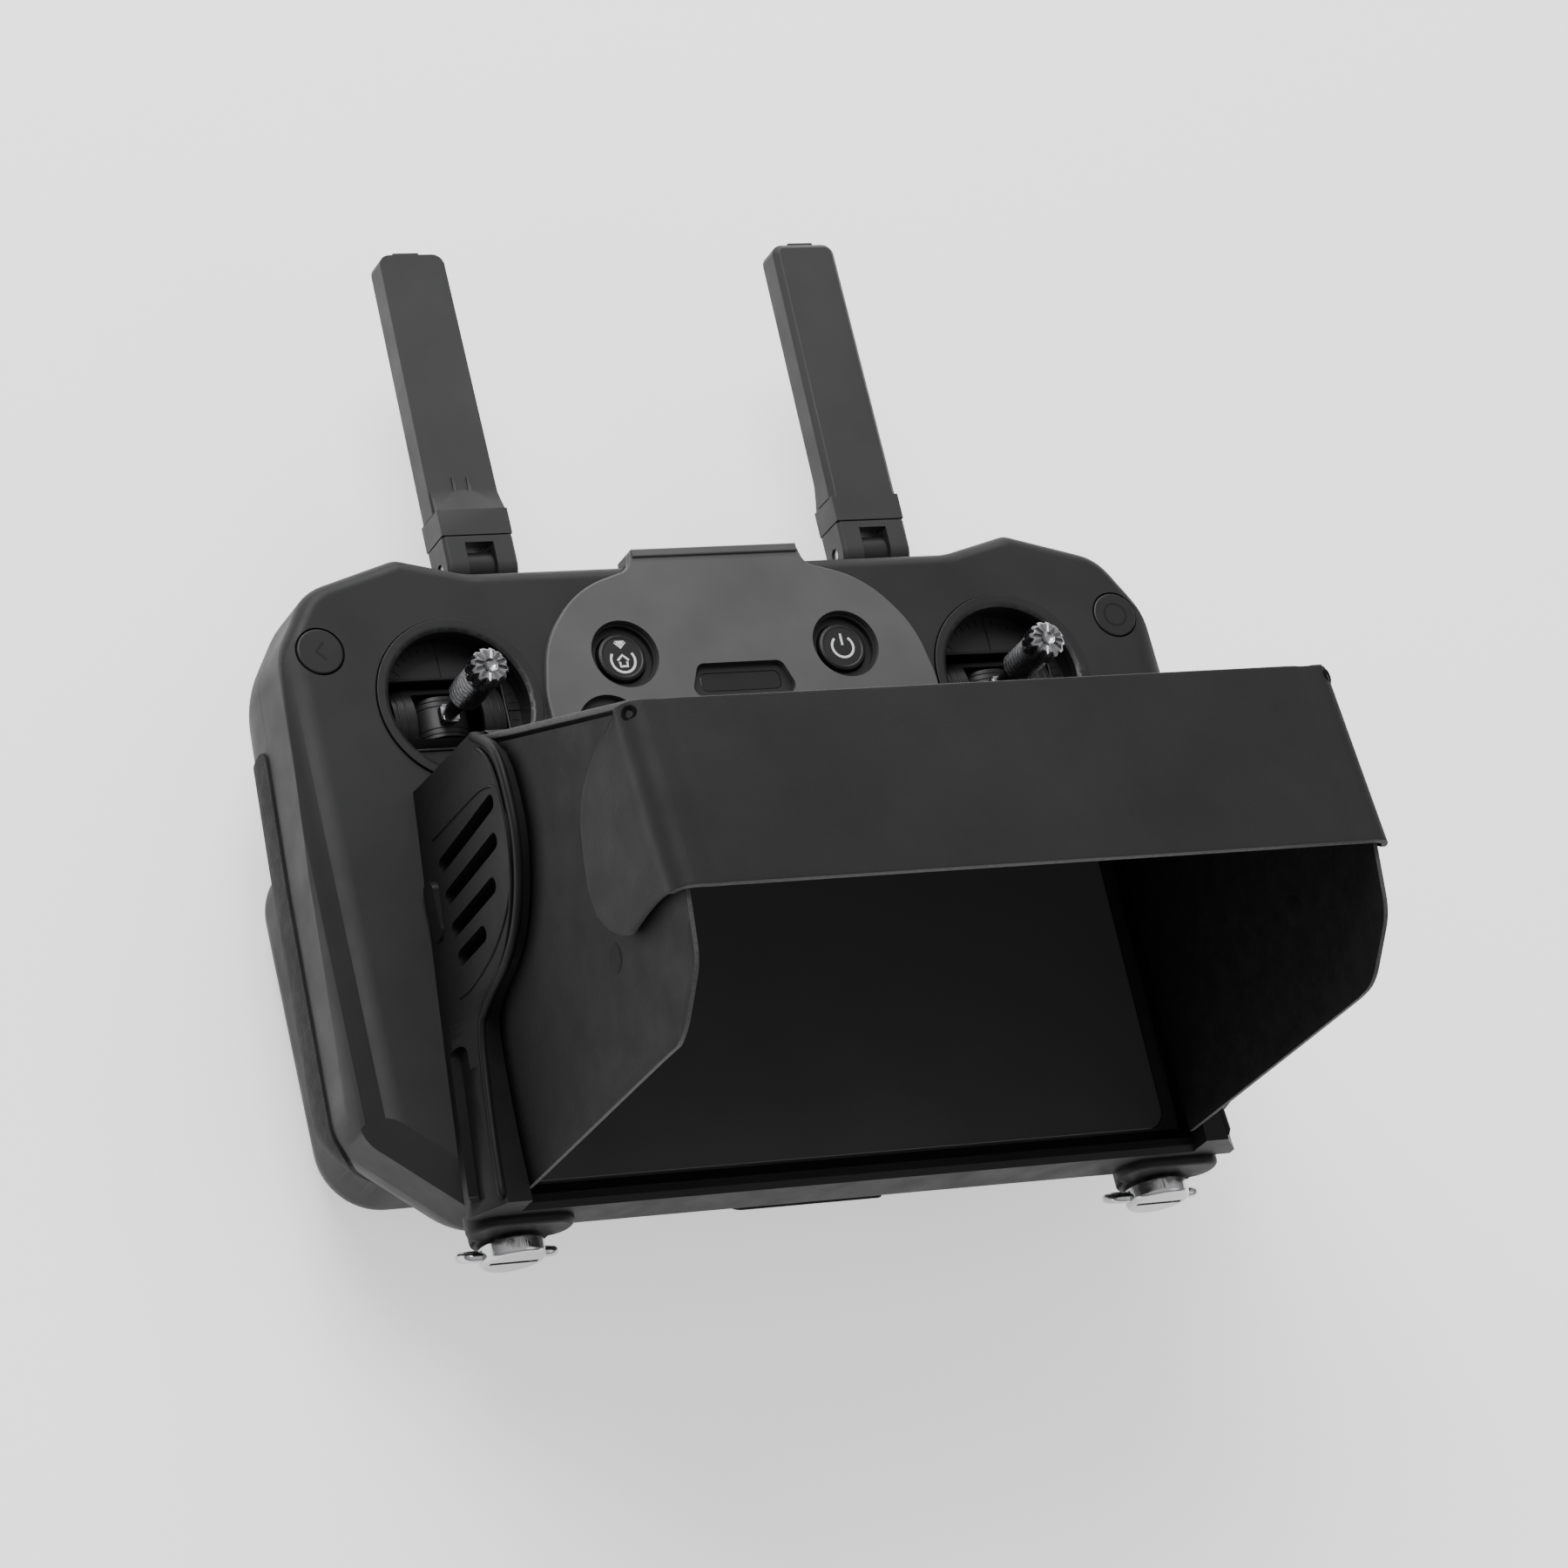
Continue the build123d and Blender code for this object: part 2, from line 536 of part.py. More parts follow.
def port_cover():
    """Rubber flap over the sockets on the bottom edge."""
    cover = soft_block(-PORT_HALF, PORT_HALF, -1.0, 2.0, -PORT_TALL / 2, PORT_TALL / 2, 2.0, Axis.Y)
    return at(0, *PORT_AT) * Rot(PORT_LEAN, 0, 0) * cover


# ------------------------------------------------------------------ antennas
def antenna_tongue(side):
    """Lug on the rear shell that the antenna folds on."""
    x = side * ANT_X
    lug = block(x - TONGUE_HALF, x + TONGUE_HALF, TOP_Y - 6, ANT_PIN_Y, ANT_Z - LUG_R, SEAM_Z - 0.1)
    lug += drum_x(LUG_R, ANT_PIN_Y, ANT_Z, x - TONGUE_HALF, x + TONGUE_HALF)
    return lug - drum_x(ANT_PIN_R, ANT_PIN_Y, ANT_Z, x - 10, x + 10)


def antenna_pin(side):
    half = ANT_WIDTH / 2 - 0.6
    return drum_x(ANT_PIN_R, ANT_PIN_Y, ANT_Z, side * ANT_X - half, side * ANT_X + half)


def antenna_knuckle(side):
    """Forked block that folds back about the pin and carries the twisting paddle."""
    x, half, deep = side * ANT_X, ANT_WIDTH / 2, KNUCKLE_T / 2
    block_part = block(x - half, x + half, ANT_PIN_Y, ANT_SEAM_Y, ANT_Z - deep, ANT_Z + deep)
    block_part += drum_x(deep, ANT_PIN_Y, ANT_Z, x - half, x + half)
    block_part = chamfer(block_part.edges().filter_by(Axis.Y), 0.8)
    fork = TONGUE_HALF + 0.4
    block_part -= block(x - fork, x + fork, 70, ANT_PIN_Y + 5.2, ANT_Z - 20, ANT_Z + 20)
    block_part -= drum_x(ANT_PIN_R + PIN_GAP, ANT_PIN_Y, ANT_Z, x - 12, x + 12)
    block_part -= drum_y(SPIGOT_R + PIN_GAP, x, ANT_Z, ANT_SEAM_Y - 3, ANT_SEAM_Y + 1)
    return block_part


def antenna_paddle(side):
    """Flat paddle with a thicker foot; the left one is turned face about."""
    half, deep = ANT_WIDTH / 2, KNUCKLE_T / 2
    tip = half - 0.7
    face = rounded_face([(-half, 0, 0), (-tip, ANT_LENGTH, 3.0), (tip, ANT_LENGTH, 3.0), (half, 0, 0)])
    blade = extrude(face, ANT_T)
    blade = chamfer(blade.faces().sort_by(Axis.Z)[-1].outer_wire().edges(), 1.4)
    blade = at(0, 0, deep - ANT_T) * blade
    foot = block(-half, half, 0, ANT_FOOT, -deep, deep)
    foot += extrude(Plane.YZ * make_face(Polyline((ANT_FOOT, -deep), (ANT_FOOT + 7, deep - ANT_T + 0.1),
                                                  (ANT_FOOT, deep - ANT_T + 0.1), close=True)),
                    half - 0.5, both=True)
    blade += foot
    blade += drum_y(SPIGOT_R, 0, 0, -2.1, 0.1)
    for x in (-2.4, 1.6):
        blade += block(x, x + 0.9, ANT_FOOT + 4, ANT_FOOT + 10, deep - ANT_T - 0.5, deep - ANT_T + 0.2)
    blade += block(-3, 4, ANT_LENGTH - 1, ANT_LENGTH + 1.2, deep - ANT_T + 1.5, deep - 2.5)
    turn = 180 if side < 0 else 0
    return at(side * ANT_X, ANT_SEAM_Y + SEAM_GAP, ANT_Z) * Rot(0, turn, 0) * blade


# ------------------------------------------------------------------ hood
def hood_faceplate():
    """Clip plate that hooks over the top edge and frames the keys."""
    half = [(23.0, 85.0, 1.5), (24.3, 80.0, 4.0), (39.5, 75.5, 28.0), (50.5, 62.0, 28.0),
            (53.4, 48.0, 20.0), (53.0, 25.7, 2.0)]
    outline = rounded_face(half + [(-x, y, r) for x, y, r in reversed(half)])
    plate = at(0, 0, PLATE_Z) * extrude(outline, PLATE_T)
    plate = fillet(plate.faces().sort_by(Axis.Z)[-1].outer_wire().edges(), 0.6)
    plate += soft_block(-22.5, 22.5, 83.0, 85.2, 55.0, PLATE_Z + PLATE_T + 0.7, 0.5, Axis.X)
    cuts = [drum(PLATE_HOLE_R, side * MAIN_KEY[0], MAIN_KEY[1], FACE_Z - 1, FACE_Z + 4) for side in (-1, 1)]
    cuts.append(drum(PLATE_HOLE_R, FIVE_WAY[0], FIVE_WAY[1], FACE_Z - 1, FACE_Z + 4))
    slot = rounded_face([(11.5, 54.0, 2.5), (15.0, 45.0, 2.5), (-15.0, 45.0, 2.5), (-11.5, 54.0, 2.5)])
    cuts.append(at(0, 0, FACE_Z - 1) * extrude(slot, 5))
    for cut in cuts:
        plate -= cut
    return plate


def foot_x(y):
    """Outer face of the collar's foot at a place along its side."""
    for (y0, x0, _, _), (y1, x1, _, _) in zip(COLLAR_SECTIONS, COLLAR_SECTIONS[1:]):
        if y1 <= y <= y0:
            return x0 + (x1 - x0) * (y0 - y) / (y0 - y1)
    return COLLAR_SECTIONS[-1][1]


def collar_groove():
    """Groove of even depth that follows the slant of the wall's foot."""
    (y0, y1), lean = GROOVE_Y, 1.0
    floor = [foot_x(y) - GROOVE_DEPTH - lean for y in (y0, y1)]
    outline = Polyline((floor[0], y0), (120, y0), (120, y1), (floor[1], y1), close=True)
    groove = at(0, 0, GROOVE_Z[0]) * extrude(make_face(outline), GROOVE_Z[1] - GROOVE_Z[0])
    return fillet(groove.edges().filter_by(Axis.X), 2.2)


def flowing_sections(steps):
    """The collar's sections with further ones between them, on a Catmull-Rom curve."""
    rows = [COLLAR_SECTIONS[0]] + COLLAR_SECTIONS + [COLLAR_SECTIONS[-1]]
    made = []
    for before, start, end, after in zip(rows, rows[1:], rows[2:], rows[3:]):
        for i in range(steps):
            t = i / steps
            weights = ((-t + 2 * t**2 - t**3) / 2, (2 - 5 * t**2 + 3 * t**3) / 2,
                       (t + 4 * t**2 - 3 * t**3) / 2, (t**3 - t**2) / 2)
            made.append([sum(w * v for w, v in zip(weights, values))
                         for values in zip(before, start, end, after)])
    return made + [list(COLLAR_SECTIONS[-1])]


def collar_wall():
    """Right side wall of the collar, lofted from the foot to the rim."""
    sections = []
    for y, foot, rim, rim_z in flowing_sections(3):
        profile = Polyline((WALL_IN, y, COLLAR_Z), (foot, y, COLLAR_Z), (foot - 0.3, y, COLLAR_Z + 3),
                           (rim, y, rim_z - 1.6), (rim - 0.9, y, rim_z), (WALL_IN, y, rim_z), close=True)
        sections.append(make_face(profile))
    wall = loft(sections, ruled=True)
    for y, z0, z1 in COLLAR_SLOTS:
        slot = soft_block(80, 110, -SLOT_HALF, SLOT_HALF, 0, z1 - z0, SLOT_HALF - 0.1, Axis.X)
        wall -= at(0, y, z0) * Rot(-6, 0, 0) * slot
    wall -= collar_groove()
    pad = soft_block(90.2, 96.6, -15.0, 0.0, 63.5, 69.5, 2.9, Axis.X)
    return wall + pad


def hood_collar():
    """Moulded frame clipped round the screen, open in the middle."""
    right, left = both_sides(collar_wall())
    collar = right + left
    collar += block(-WALL_IN - 0.2, WALL_IN + 0.2, TOP_WALL_Y[0], TOP_WALL_Y[1], COLLAR_Z, TOP_WALL_Z)
    rail = extrude(Plane.YZ * make_face(Polyline((-83.0, 54.0), (-83.0, 66.0), (-81.6, 67.4), (-79.6, 67.4),
                                                 (-75.6, COLLAR_Z), (BOTTOM_Y - 0.1, COLLAR_Z),
                                                 (BOTTOM_Y - 0.1, 54.0), close=True)),
                   98.0, both=True)
    collar += rail
    for side in (-1, 1):
        for half, low, high, radius in BOSS_PARTS:
            boss = soft_block(side * SCREW[0] - half, side * SCREW[0] + half, BOSS_Y, BOTTOM_Y - 0.1,
                              low, high, radius, Axis.Y)
            collar += fillet(boss.faces().sort_by(Axis.Y)[0].outer_wire().edges(), 1.6)
        collar -= drum_y(SCREW_R + 0.2, side * SCREW[0], SCREW[1], -90, -70)
    return collar


def hood_side_panel():
    """Right side sheet of the hood, standing on the collar."""
    outline = rounded_face([
        (21.4, PANEL_ROOT_Z, 0), (21.4, 97.2, 3), (-4.4, 177.0, 1.5), (-49.0, 183.2, 6),
        (-66.0, 180.5, 12), (-79.0, 166.0, 14), (-79.0, PANEL_ROOT_Z, 0)])
    panel = at(PANEL_OUT - SHEET_T, 0, 0) * extrude(Plane.YZ * outline, SHEET_T)
    return panel - drum_x(MAGNET_R + 0.05, *MAGNET, PANEL_OUT - SHEET_T - 1, PANEL_OUT - SHEET_T + MAGNET_T)


def hood_magnet():
    """Disc let into the inner side of the panel."""
    return drum_x(MAGNET_R, *MAGNET, PANEL_OUT - SHEET_T - 0.05, PANEL_OUT - SHEET_T + MAGNET_T - 0.02)


def tilted_sheet(start, end, half_x):
    """Flat sheet between two y, z points, with its outer face through them."""
    (y0, z0), (y1, z1) = start, end
    length = math.hypot(y1 - y0, z1 - z0)
    slope = math.degrees(math.atan2(z1 - z0, y1 - y0))
    sheet = at(0, length / 2, -SHEET_T / 2) * Box(2 * half_x, length, SHEET_T)
    return at(0, y0, z0) * Rot(slope, 0, 0) * sheet


def hood_roof():
    return tilted_sheet(FOLD, ROOF_ROOT, PANEL_OUT + 0.1)


def hood_visor():
    """Front flap with two wings that wrap back over the side panels."""
    start = (FOLD[0] - 0.9, FOLD[1] + 1.2)
    end = (LIP[0], LIP[1] + 1.2)
    visor = tilted_sheet(end, start, WING_IN + SHEET_T)
    outline = rounded_face([(-3.2, 178.0, 1), (-7.0, 162.0, 6), (-14.0, 146.0, 8), (-36.0, 142.0, 10),
                            (-52.0, 153.0, 5), (-48.0, 168.0, 8), (-50.0, 185.0, 1), (-30.0, 183.2, 0)])
    wing = at(WING_IN, 0, 0) * extrude(Plane.YZ * outline, SHEET_T)
    return visor + both_sides(wing)[0] + both_sides(wing)[1]


# ------------------------------------------------------------------ strap screws
def strap_screw():
    """Slotted screw with a bored head for the wire loop."""
    screw = drum_y(HEAD_R, SCREW[0], SCREW[1], *HEAD_Y)
    screw = fillet(screw.faces().sort_by(Axis.Y)[0].edges(), 1.2)
    screw += drum_y(SCREW_R, SCREW[0], SCREW[1], HEAD_Y[1] - 0.1, -72)
    screw += drum_y(4.2, SCREW[0], SCREW[1], HEAD_Y[1] - 0.1, HEAD_Y[1] + 0.8)
    screw -= block(SCREW[0] - 6.2, SCREW[0] + 6.2, -91, HEAD_Y[0] + 1.0, SCREW[1] - 0.8, SCREW[1] + 0.8)
    screw -= drum_x(WIRE_R + PIN_GAP, LOOP_Y, SCREW[1], SCREW[0] - 20, SCREW[0] - 4.5)
    screw -= drum_x(WIRE_R + PIN_GAP, LOOP_Y, SCREW[1], SCREW[0] + 4.5, SCREW[0] + 20)
    return screw


def strap_loop():
    """Wire loop whose two ends turn in the head of the screw."""
    reach, corner, elbow = LOOP_DEPTH, 8.0, 2.4
    path = FilletPolyline((-5, 0, 0), (-LOOP_HALF, 0, 0), (-LOOP_HALF, 0, -reach), (LOOP_HALF, 0, -reach),
                          (LOOP_HALF, 0, 0), (5, 0, 0), radius=[elbow, corner, corner, elbow])
    start = Plane(origin=path @ 0, z_dir=path % 0)
    wire = sweep(start * Circle(WIRE_R), path=path)
    return at(SCREW[0], LOOP_Y, SCREW[1]) * Rot(LOOP_LEAN, 0, 0) * wire


# ------------------------------------------------------------------ write the files
def on_side(shape, side):
    """The shape as built for the right, or its mirror image on the left."""
    return shape if side > 0 else mirror(shape, about=Plane.YZ)


def build():
    grip = side_grip()
    grips = {"right": grip, "left": mirror(grip, about=Plane.YZ)}
    nodes = {
        "front_shell": front_shell(),
        "rear_shell": rear_shell(grips.values()),
        "shell_screws": shell_screws(),
        "rear_feet": rear_feet(),
        "screen_glass": screen_glass(),
        "display_panel": display_panel(),
        "main_board": main_board(),
        "battery_pack": battery_pack(),
        "battery_latch": battery_latch(),
        "led_bar": led_bar(),
        "home_key": face_key(-MAIN_KEY[0], MAIN_KEY[1], MAIN_KEY_R, FACE_Z - 0.2),
        "power_key": face_key(MAIN_KEY[0], MAIN_KEY[1], MAIN_KEY_R, FACE_Z - 0.2),
        "back_key": face_key(-ROUND_KEY[0], ROUND_KEY[1], ROUND_KEY_R, FACE_Z + 0.2),
        "confirm_key": face_key(ROUND_KEY[0], ROUND_KEY[1], ROUND_KEY_R, FACE_Z + 0.2),
        "five_way_ring": five_way_ring(),
        "five_way_key": five_way_key(),
        "record_key": top_key(-TOP_KEY_X, TOP_KEY_R, 84.4),
        "shutter_key": top_key(TOP_KEY_X, TOP_KEY_R, 84.4),
        "pause_key": top_key(PAUSE_X, PAUSE_R, 80.8),
        "mode_switch": mode_switch(),
        "scroll_wheel": thumb_dial(SCROLL_X, SCROLL_R, 2.9, SCROLL_Y),
        "rear_key_left": rear_key(-REAR_KEY[0]),
        "rear_key_right": rear_key(REAR_KEY[0]),
        "port_cover": port_cover(),
        "wheel_axles": Compound([dial_axle(-DIAL_X, 6.4, DIAL_Y), dial_axle(DIAL_X, 6.4, DIAL_Y),
                                 dial_axle(SCROLL_X, 4.6, SCROLL_Y)]),
        "hood_faceplate": hood_faceplate(),
        "hood_collar": hood_collar(),
        "hood_roof": hood_roof(),
        "hood_visor": hood_visor(),
    }
    for name, side in (("left", -1), ("right", 1)):
        place = at(side * GIMBAL[0], GIMBAL[1], FACE_Z)
        nodes["side_grip_" + name] = grips[name]
        nodes["gimbal_ring_" + name] = place * gimbal_ring()
        nodes["gimbal_cup_" + name] = place * gimbal_cup()
        nodes["gimbal_yoke_" + name] = place * gimbal_yoke()
        nodes["gimbal_drum_" + name] = place * gimbal_drum()
        nodes["stick_sleeve_" + name] = place * stick_sleeve()
        nodes["stick_crown_" + name] = place * stick_crown()
        nodes["thumb_dial_" + name] = thumb_dial(side * DIAL_X, DIAL_R, 4.6, DIAL_Y)
        nodes["antenna_pin_" + name] = antenna_pin(side)
        nodes["antenna_knuckle_" + name] = antenna_knuckle(side)
        nodes["antenna_paddle_" + name] = antenna_paddle(side)
        nodes["hood_panel_" + name] = on_side(hood_side_panel(), side)
        nodes["hood_magnet_" + name] = on_side(hood_magnet(), side)
        nodes["strap_screw_" + name] = on_side(strap_screw(), side)
        nodes["strap_loop_" + name] = on_side(strap_loop(), side)
    return nodes


for node_name, node_shape in build().items():
    export_step(node_shape, "parts/" + node_name + ".step")
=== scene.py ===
import json
import math

import bmesh
import bpy
from mathutils import Euler, Matrix, Vector
from mathutils.bvhtree import BVHTree


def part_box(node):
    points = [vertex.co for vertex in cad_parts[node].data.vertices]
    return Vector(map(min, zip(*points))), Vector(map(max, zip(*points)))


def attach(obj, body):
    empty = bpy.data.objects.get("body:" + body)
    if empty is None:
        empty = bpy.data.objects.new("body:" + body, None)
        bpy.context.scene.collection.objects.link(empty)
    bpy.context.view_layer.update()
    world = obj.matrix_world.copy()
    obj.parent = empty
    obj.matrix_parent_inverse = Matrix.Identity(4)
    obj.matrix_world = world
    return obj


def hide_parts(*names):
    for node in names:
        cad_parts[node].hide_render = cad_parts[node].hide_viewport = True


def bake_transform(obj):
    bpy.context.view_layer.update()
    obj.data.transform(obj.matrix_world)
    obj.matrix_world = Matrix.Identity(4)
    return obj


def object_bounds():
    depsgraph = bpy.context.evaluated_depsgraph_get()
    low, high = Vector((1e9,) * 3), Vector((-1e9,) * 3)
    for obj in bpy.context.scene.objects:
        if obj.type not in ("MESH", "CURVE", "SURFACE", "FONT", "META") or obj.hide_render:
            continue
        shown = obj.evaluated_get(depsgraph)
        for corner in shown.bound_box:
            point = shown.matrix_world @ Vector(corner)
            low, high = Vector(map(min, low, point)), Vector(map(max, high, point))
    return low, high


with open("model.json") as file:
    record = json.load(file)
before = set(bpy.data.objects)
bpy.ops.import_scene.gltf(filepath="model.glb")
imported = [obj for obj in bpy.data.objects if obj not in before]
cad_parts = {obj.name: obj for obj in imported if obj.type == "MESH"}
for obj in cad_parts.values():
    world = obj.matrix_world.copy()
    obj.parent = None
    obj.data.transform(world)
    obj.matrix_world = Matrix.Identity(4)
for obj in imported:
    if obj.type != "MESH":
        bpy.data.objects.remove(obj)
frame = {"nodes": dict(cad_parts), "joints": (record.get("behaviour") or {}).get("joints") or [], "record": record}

MM = 0.001
LEFT, RIGHT = -1, 1
SIDES = {LEFT: "left", RIGHT: "right"}
cad_low, cad_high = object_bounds()
nodes = frame["nodes"]
slot_of_node = {s["node"]: s["material_slot"] for s in frame["record"]["subparts"]}
joint_place = {j["name"]: [round(v / MM, 3) for v in j["pos_m"]]
               for j in frame["joints"] if "pos_m" in j}


def box_mm(node):
    """Lowest and highest corner of a CAD node, in millimetres."""
    return [[round(v / MM, 3) for v in corner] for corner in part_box(node)]


# ------------------------------------------------------------------ camera, floor and light
LENS = 148.8
CAMERA_PLACE = (-0.6961, -0.5045, 1.3868)
CAMERA_TURN = (25.19, -22.84, -13.59)      # degrees about x, y and z
FLOOR_HALF = 6.0
FLOOR_DROP = 0.0002                        # the floor lies this far under the object
FLOOR_ALBEDO = 0.93
FLOOR_GLOW = 0.75
SKY_STRENGTH = 0.72
# name, place, target, size, power
LIGHTS = [("key", (-0.6, 1.1, 1.7), (0, 0, 0.08), (1.1, 0.8), 36),
          ("fill", (1.3, -0.9, 1.3), (0, 0, 0.06), (1.0, 1.0), 3),
          ("rim", (0.1, 1.6, 0.9), (0, 0.05, 0.08), (1.4, 0.5), 20)]


def make_camera():
    data = bpy.data.cameras.new("camera")
    data.lens = LENS
    data.clip_end = 20
    camera = bpy.data.objects.new("camera", data)
    camera.location = CAMERA_PLACE
    camera.rotation_euler = Euler([math.radians(a) for a in CAMERA_TURN])
    bpy.context.scene.collection.objects.link(camera)
    bpy.context.scene.camera = camera


def area_light(name, place, target, size, power):
    data = bpy.data.lights.new(name, "AREA")
    data.shape = "RECTANGLE"
    data.size, data.size_y = size
    data.energy = power
    light = bpy.data.objects.new(name, data)
    light.location = place
    light.rotation_euler = (Vector(target) - Vector(place)).to_track_quat("-Z", "Y").to_euler()
    bpy.context.scene.collection.objects.link(light)


def make_floor():
    mesh = bpy.data.meshes.new("floor")
    corners = [(-FLOOR_HALF, -FLOOR_HALF, 0), (FLOOR_HALF, -FLOOR_HALF, 0),
               (FLOOR_HALF, FLOOR_HALF, 0), (-FLOOR_HALF, FLOOR_HALF, 0)]
    mesh.from_pydata(corners, [], [(0, 1, 2, 3)])
    floor = bpy.data.objects.new("floor", mesh)
    floor.location.z = cad_low[2] - FLOOR_DROP
    bpy.context.scene.collection.objects.link(floor)
    mesh.materials.append(floor_paint())


def floor_paint():
    """Matt pale paint with a faint glow of its own."""
    material = bpy.data.materials.new("floor_paint")
    material.use_nodes = True
    shader = material.node_tree.nodes["Principled BSDF"]
    shader.inputs["Base Color"].default_value = (FLOOR_ALBEDO, FLOOR_ALBEDO, FLOOR_ALBEDO, 1)
    shader.inputs["Roughness"].default_value = 0.95
    shader.inputs["Emission Color"].default_value = (1, 1, 1, 1)
    shader.inputs["Emission Strength"].default_value = FLOOR_GLOW
    return material


def make_sky():
    """Soft light from all round, brighter from above than from the horizon."""
    world = bpy.data.worlds.new("studio")
    world.use_nodes = True
    tree = world.node_tree
    background = tree.nodes["Background"]
    background.inputs["Strength"].default_value = SKY_STRENGTH
    split = tree.nodes.new("ShaderNodeSeparateXYZ")
    ramp = tree.nodes.new("ShaderNodeValToRGB")
    horizon, zenith = ramp.color_ramp.elements
    horizon.position = 0.05
    horizon.color = (0.25, 0.25, 0.26, 1)
    zenith.position = 0.75
    zenith.color = (1, 1, 1, 1)
    tree.links.new(tree.nodes.new("ShaderNodeTexCoord").outputs["Generated"], split.inputs["Vector"])
    tree.links.new(split.outputs["Z"], ramp.inputs["Fac"])
    tree.links.new(ramp.outputs["Color"], background.inputs["Color"])
    bpy.context.scene.world = world


def make_studio():
    make_floor()
    make_sky()
    for light in LIGHTS:
        area_light(*light)


# ------------------------------------------------------------------ materials
TEXTURE_RANGE = (0.3, 0.7)      # where most of a noise texture's values lie


class Surface:
    """A procedural material under construction: a Principled shader and helpers that feed it."""

    def __init__(self, name):
        self.material = bpy.data.materials.new(name)
        self.material.use_nodes = True
        self.tree = self.material.node_tree
        self.shader = self.tree.nodes["Principled BSDF"]
        self.place = self.tree.nodes.new("ShaderNodeTexCoord").outputs["Object"]

    def node(self, kind, **settings):
        made = self.tree.nodes.new(kind)
        for key, value in settings.items():
            setattr(made, key, value)
        return made

    def link(self, source, target):
        self.tree.links.new(source, target)

    def put(self, **values):
        for key, value in values.items():
            self.shader.inputs[key.replace("_", " ")].default_value = value
        return self

    def noise(self, scale, detail=3.0, stretch=None):
        texture = self.node("ShaderNodeTexNoise")
        texture.inputs["Scale"].default_value = scale
        texture.inputs["Detail"].default_value = detail
        self.link(self.stretched(stretch), texture.inputs["Vector"])
        return texture.outputs["Fac"]

    def cells(self, scale, feature="F1", stretch=None):
        texture = self.node("ShaderNodeTexVoronoi", feature=feature)
        texture.inputs["Scale"].default_value = scale
        self.link(self.stretched(stretch), texture.inputs["Vector"])
        return texture.outputs["Distance"]

    def stretched(self, stretch):
        if stretch is None:
            return self.place
        mapping = self.node("ShaderNodeMapping")
        mapping.inputs["Scale"].default_value = stretch
        self.link(self.place, mapping.inputs["Vector"])
        return mapping.outputs["Vector"]

    def ramp(self, source, low, high):
        """Maps a texture value to a colour between low and high."""
        ramp = self.node("ShaderNodeValToRGB")
        for stop, position, colour in zip(ramp.color_ramp.elements, TEXTURE_RANGE, (low, high)):
            stop.position = position
            stop.color = (*colour, 1)
        self.link(source, ramp.inputs["Fac"])
        return ramp.outputs["Color"]

    def span(self, source, low, high):
        """Maps a texture value to a number between low and high."""
        spread = self.node("ShaderNodeMapRange")
        spread.inputs["From Min"].default_value = TEXTURE_RANGE[0]
        spread.inputs["From Max"].default_value = TEXTURE_RANGE[1]
        spread.inputs["To Min"].default_value = low
        spread.inputs["To Max"].default_value = high
        self.link(source, spread.inputs["Value"])
        return spread.outputs["Result"]

    def colour(self, source):
        self.link(source, self.shader.inputs["Base Color"])
        return self

    def rough(self, source):
        self.link(source, self.shader.inputs["Roughness"])
        return self

    def bump(self, *layers):
        """Each layer is a height source, its depth in metres and its strength."""
        normal = None
        for source, depth, strength in layers:
            step = self.node("ShaderNodeBump")
            step.inputs["Strength"].default_value = strength
            step.inputs["Distance"].default_value = depth
            self.link(source, step.inputs["Height"])
            if normal is not None:
                self.link(normal, step.inputs["Normal"])
            normal = step.outputs["Normal"]
        self.link(normal, self.shader.inputs["Normal"])
        return self


def scaled(colour, factor):
    return tuple(c * factor for c in colour)


def moulded_plastic(name, colour, roughness, grain=2600, spread=0.16, gloss=0.32):
    """Spark-eroded plastic: fine grain, faint mottling in colour and gloss."""
    depth, strength = 0.00003, 0.35
    s = Surface(name)
    mottle = s.noise(38, 4)
    s.colour(s.ramp(mottle, scaled(colour, 1 - spread), scaled(colour, 1 + spread)))
    s.rough(s.span(s.noise(120, 5), roughness - 0.05, roughness + 0.06))
    s.bump((s.noise(grain, 2), depth, strength), (s.noise(grain * 0.23, 2), depth * 2, strength * 0.4))
    s.put(Specular_IOR_Level=gloss)
    return s.material


def stippled_rubber(name, colour):
    s = Surface(name)
    s.colour(s.ramp(s.noise(60, 4), scaled(colour, 0.8), scaled(colour, 1.25)))
    s.rough(s.span(s.noise(300, 3), 0.72, 0.86))
    s.bump((s.cells(1150), 0.00012, 0.8), (s.noise(3000, 2), 0.00003, 0.3))
    s.put(Specular_IOR_Level=0.18)
    return s.material


def leatherette(name, colour):
    """Pressed grain of small uneven cells over a soft sheet."""
    s = Surface(name)
    s.colour(s.ramp(s.noise(26, 5), scaled(colour, 0.85), scaled(colour, 1.18)))
    s.rough(s.span(s.noise(90, 4), 0.6, 0.72))
    s.bump((s.cells(1500, "SMOOTH_F1"), 0.00007, 0.45), (s.noise(700, 4), 0.00005, 0.3),
           (s.noise(45, 2), 0.0002, 0.15))
    s.put(Specular_IOR_Level=0.16)
    return s.material


def flocked(name, colour):
    s = Surface(name)
    s.colour(s.ramp(s.noise(180, 4), scaled(colour, 0.7), scaled(colour, 1.3)))
    s.rough(s.span(s.noise(500, 2), 0.85, 0.98))
    s.bump((s.noise(2200, 3), 0.00006, 0.5))
    s.put(Specular_IOR_Level=0.15)
    return s.material


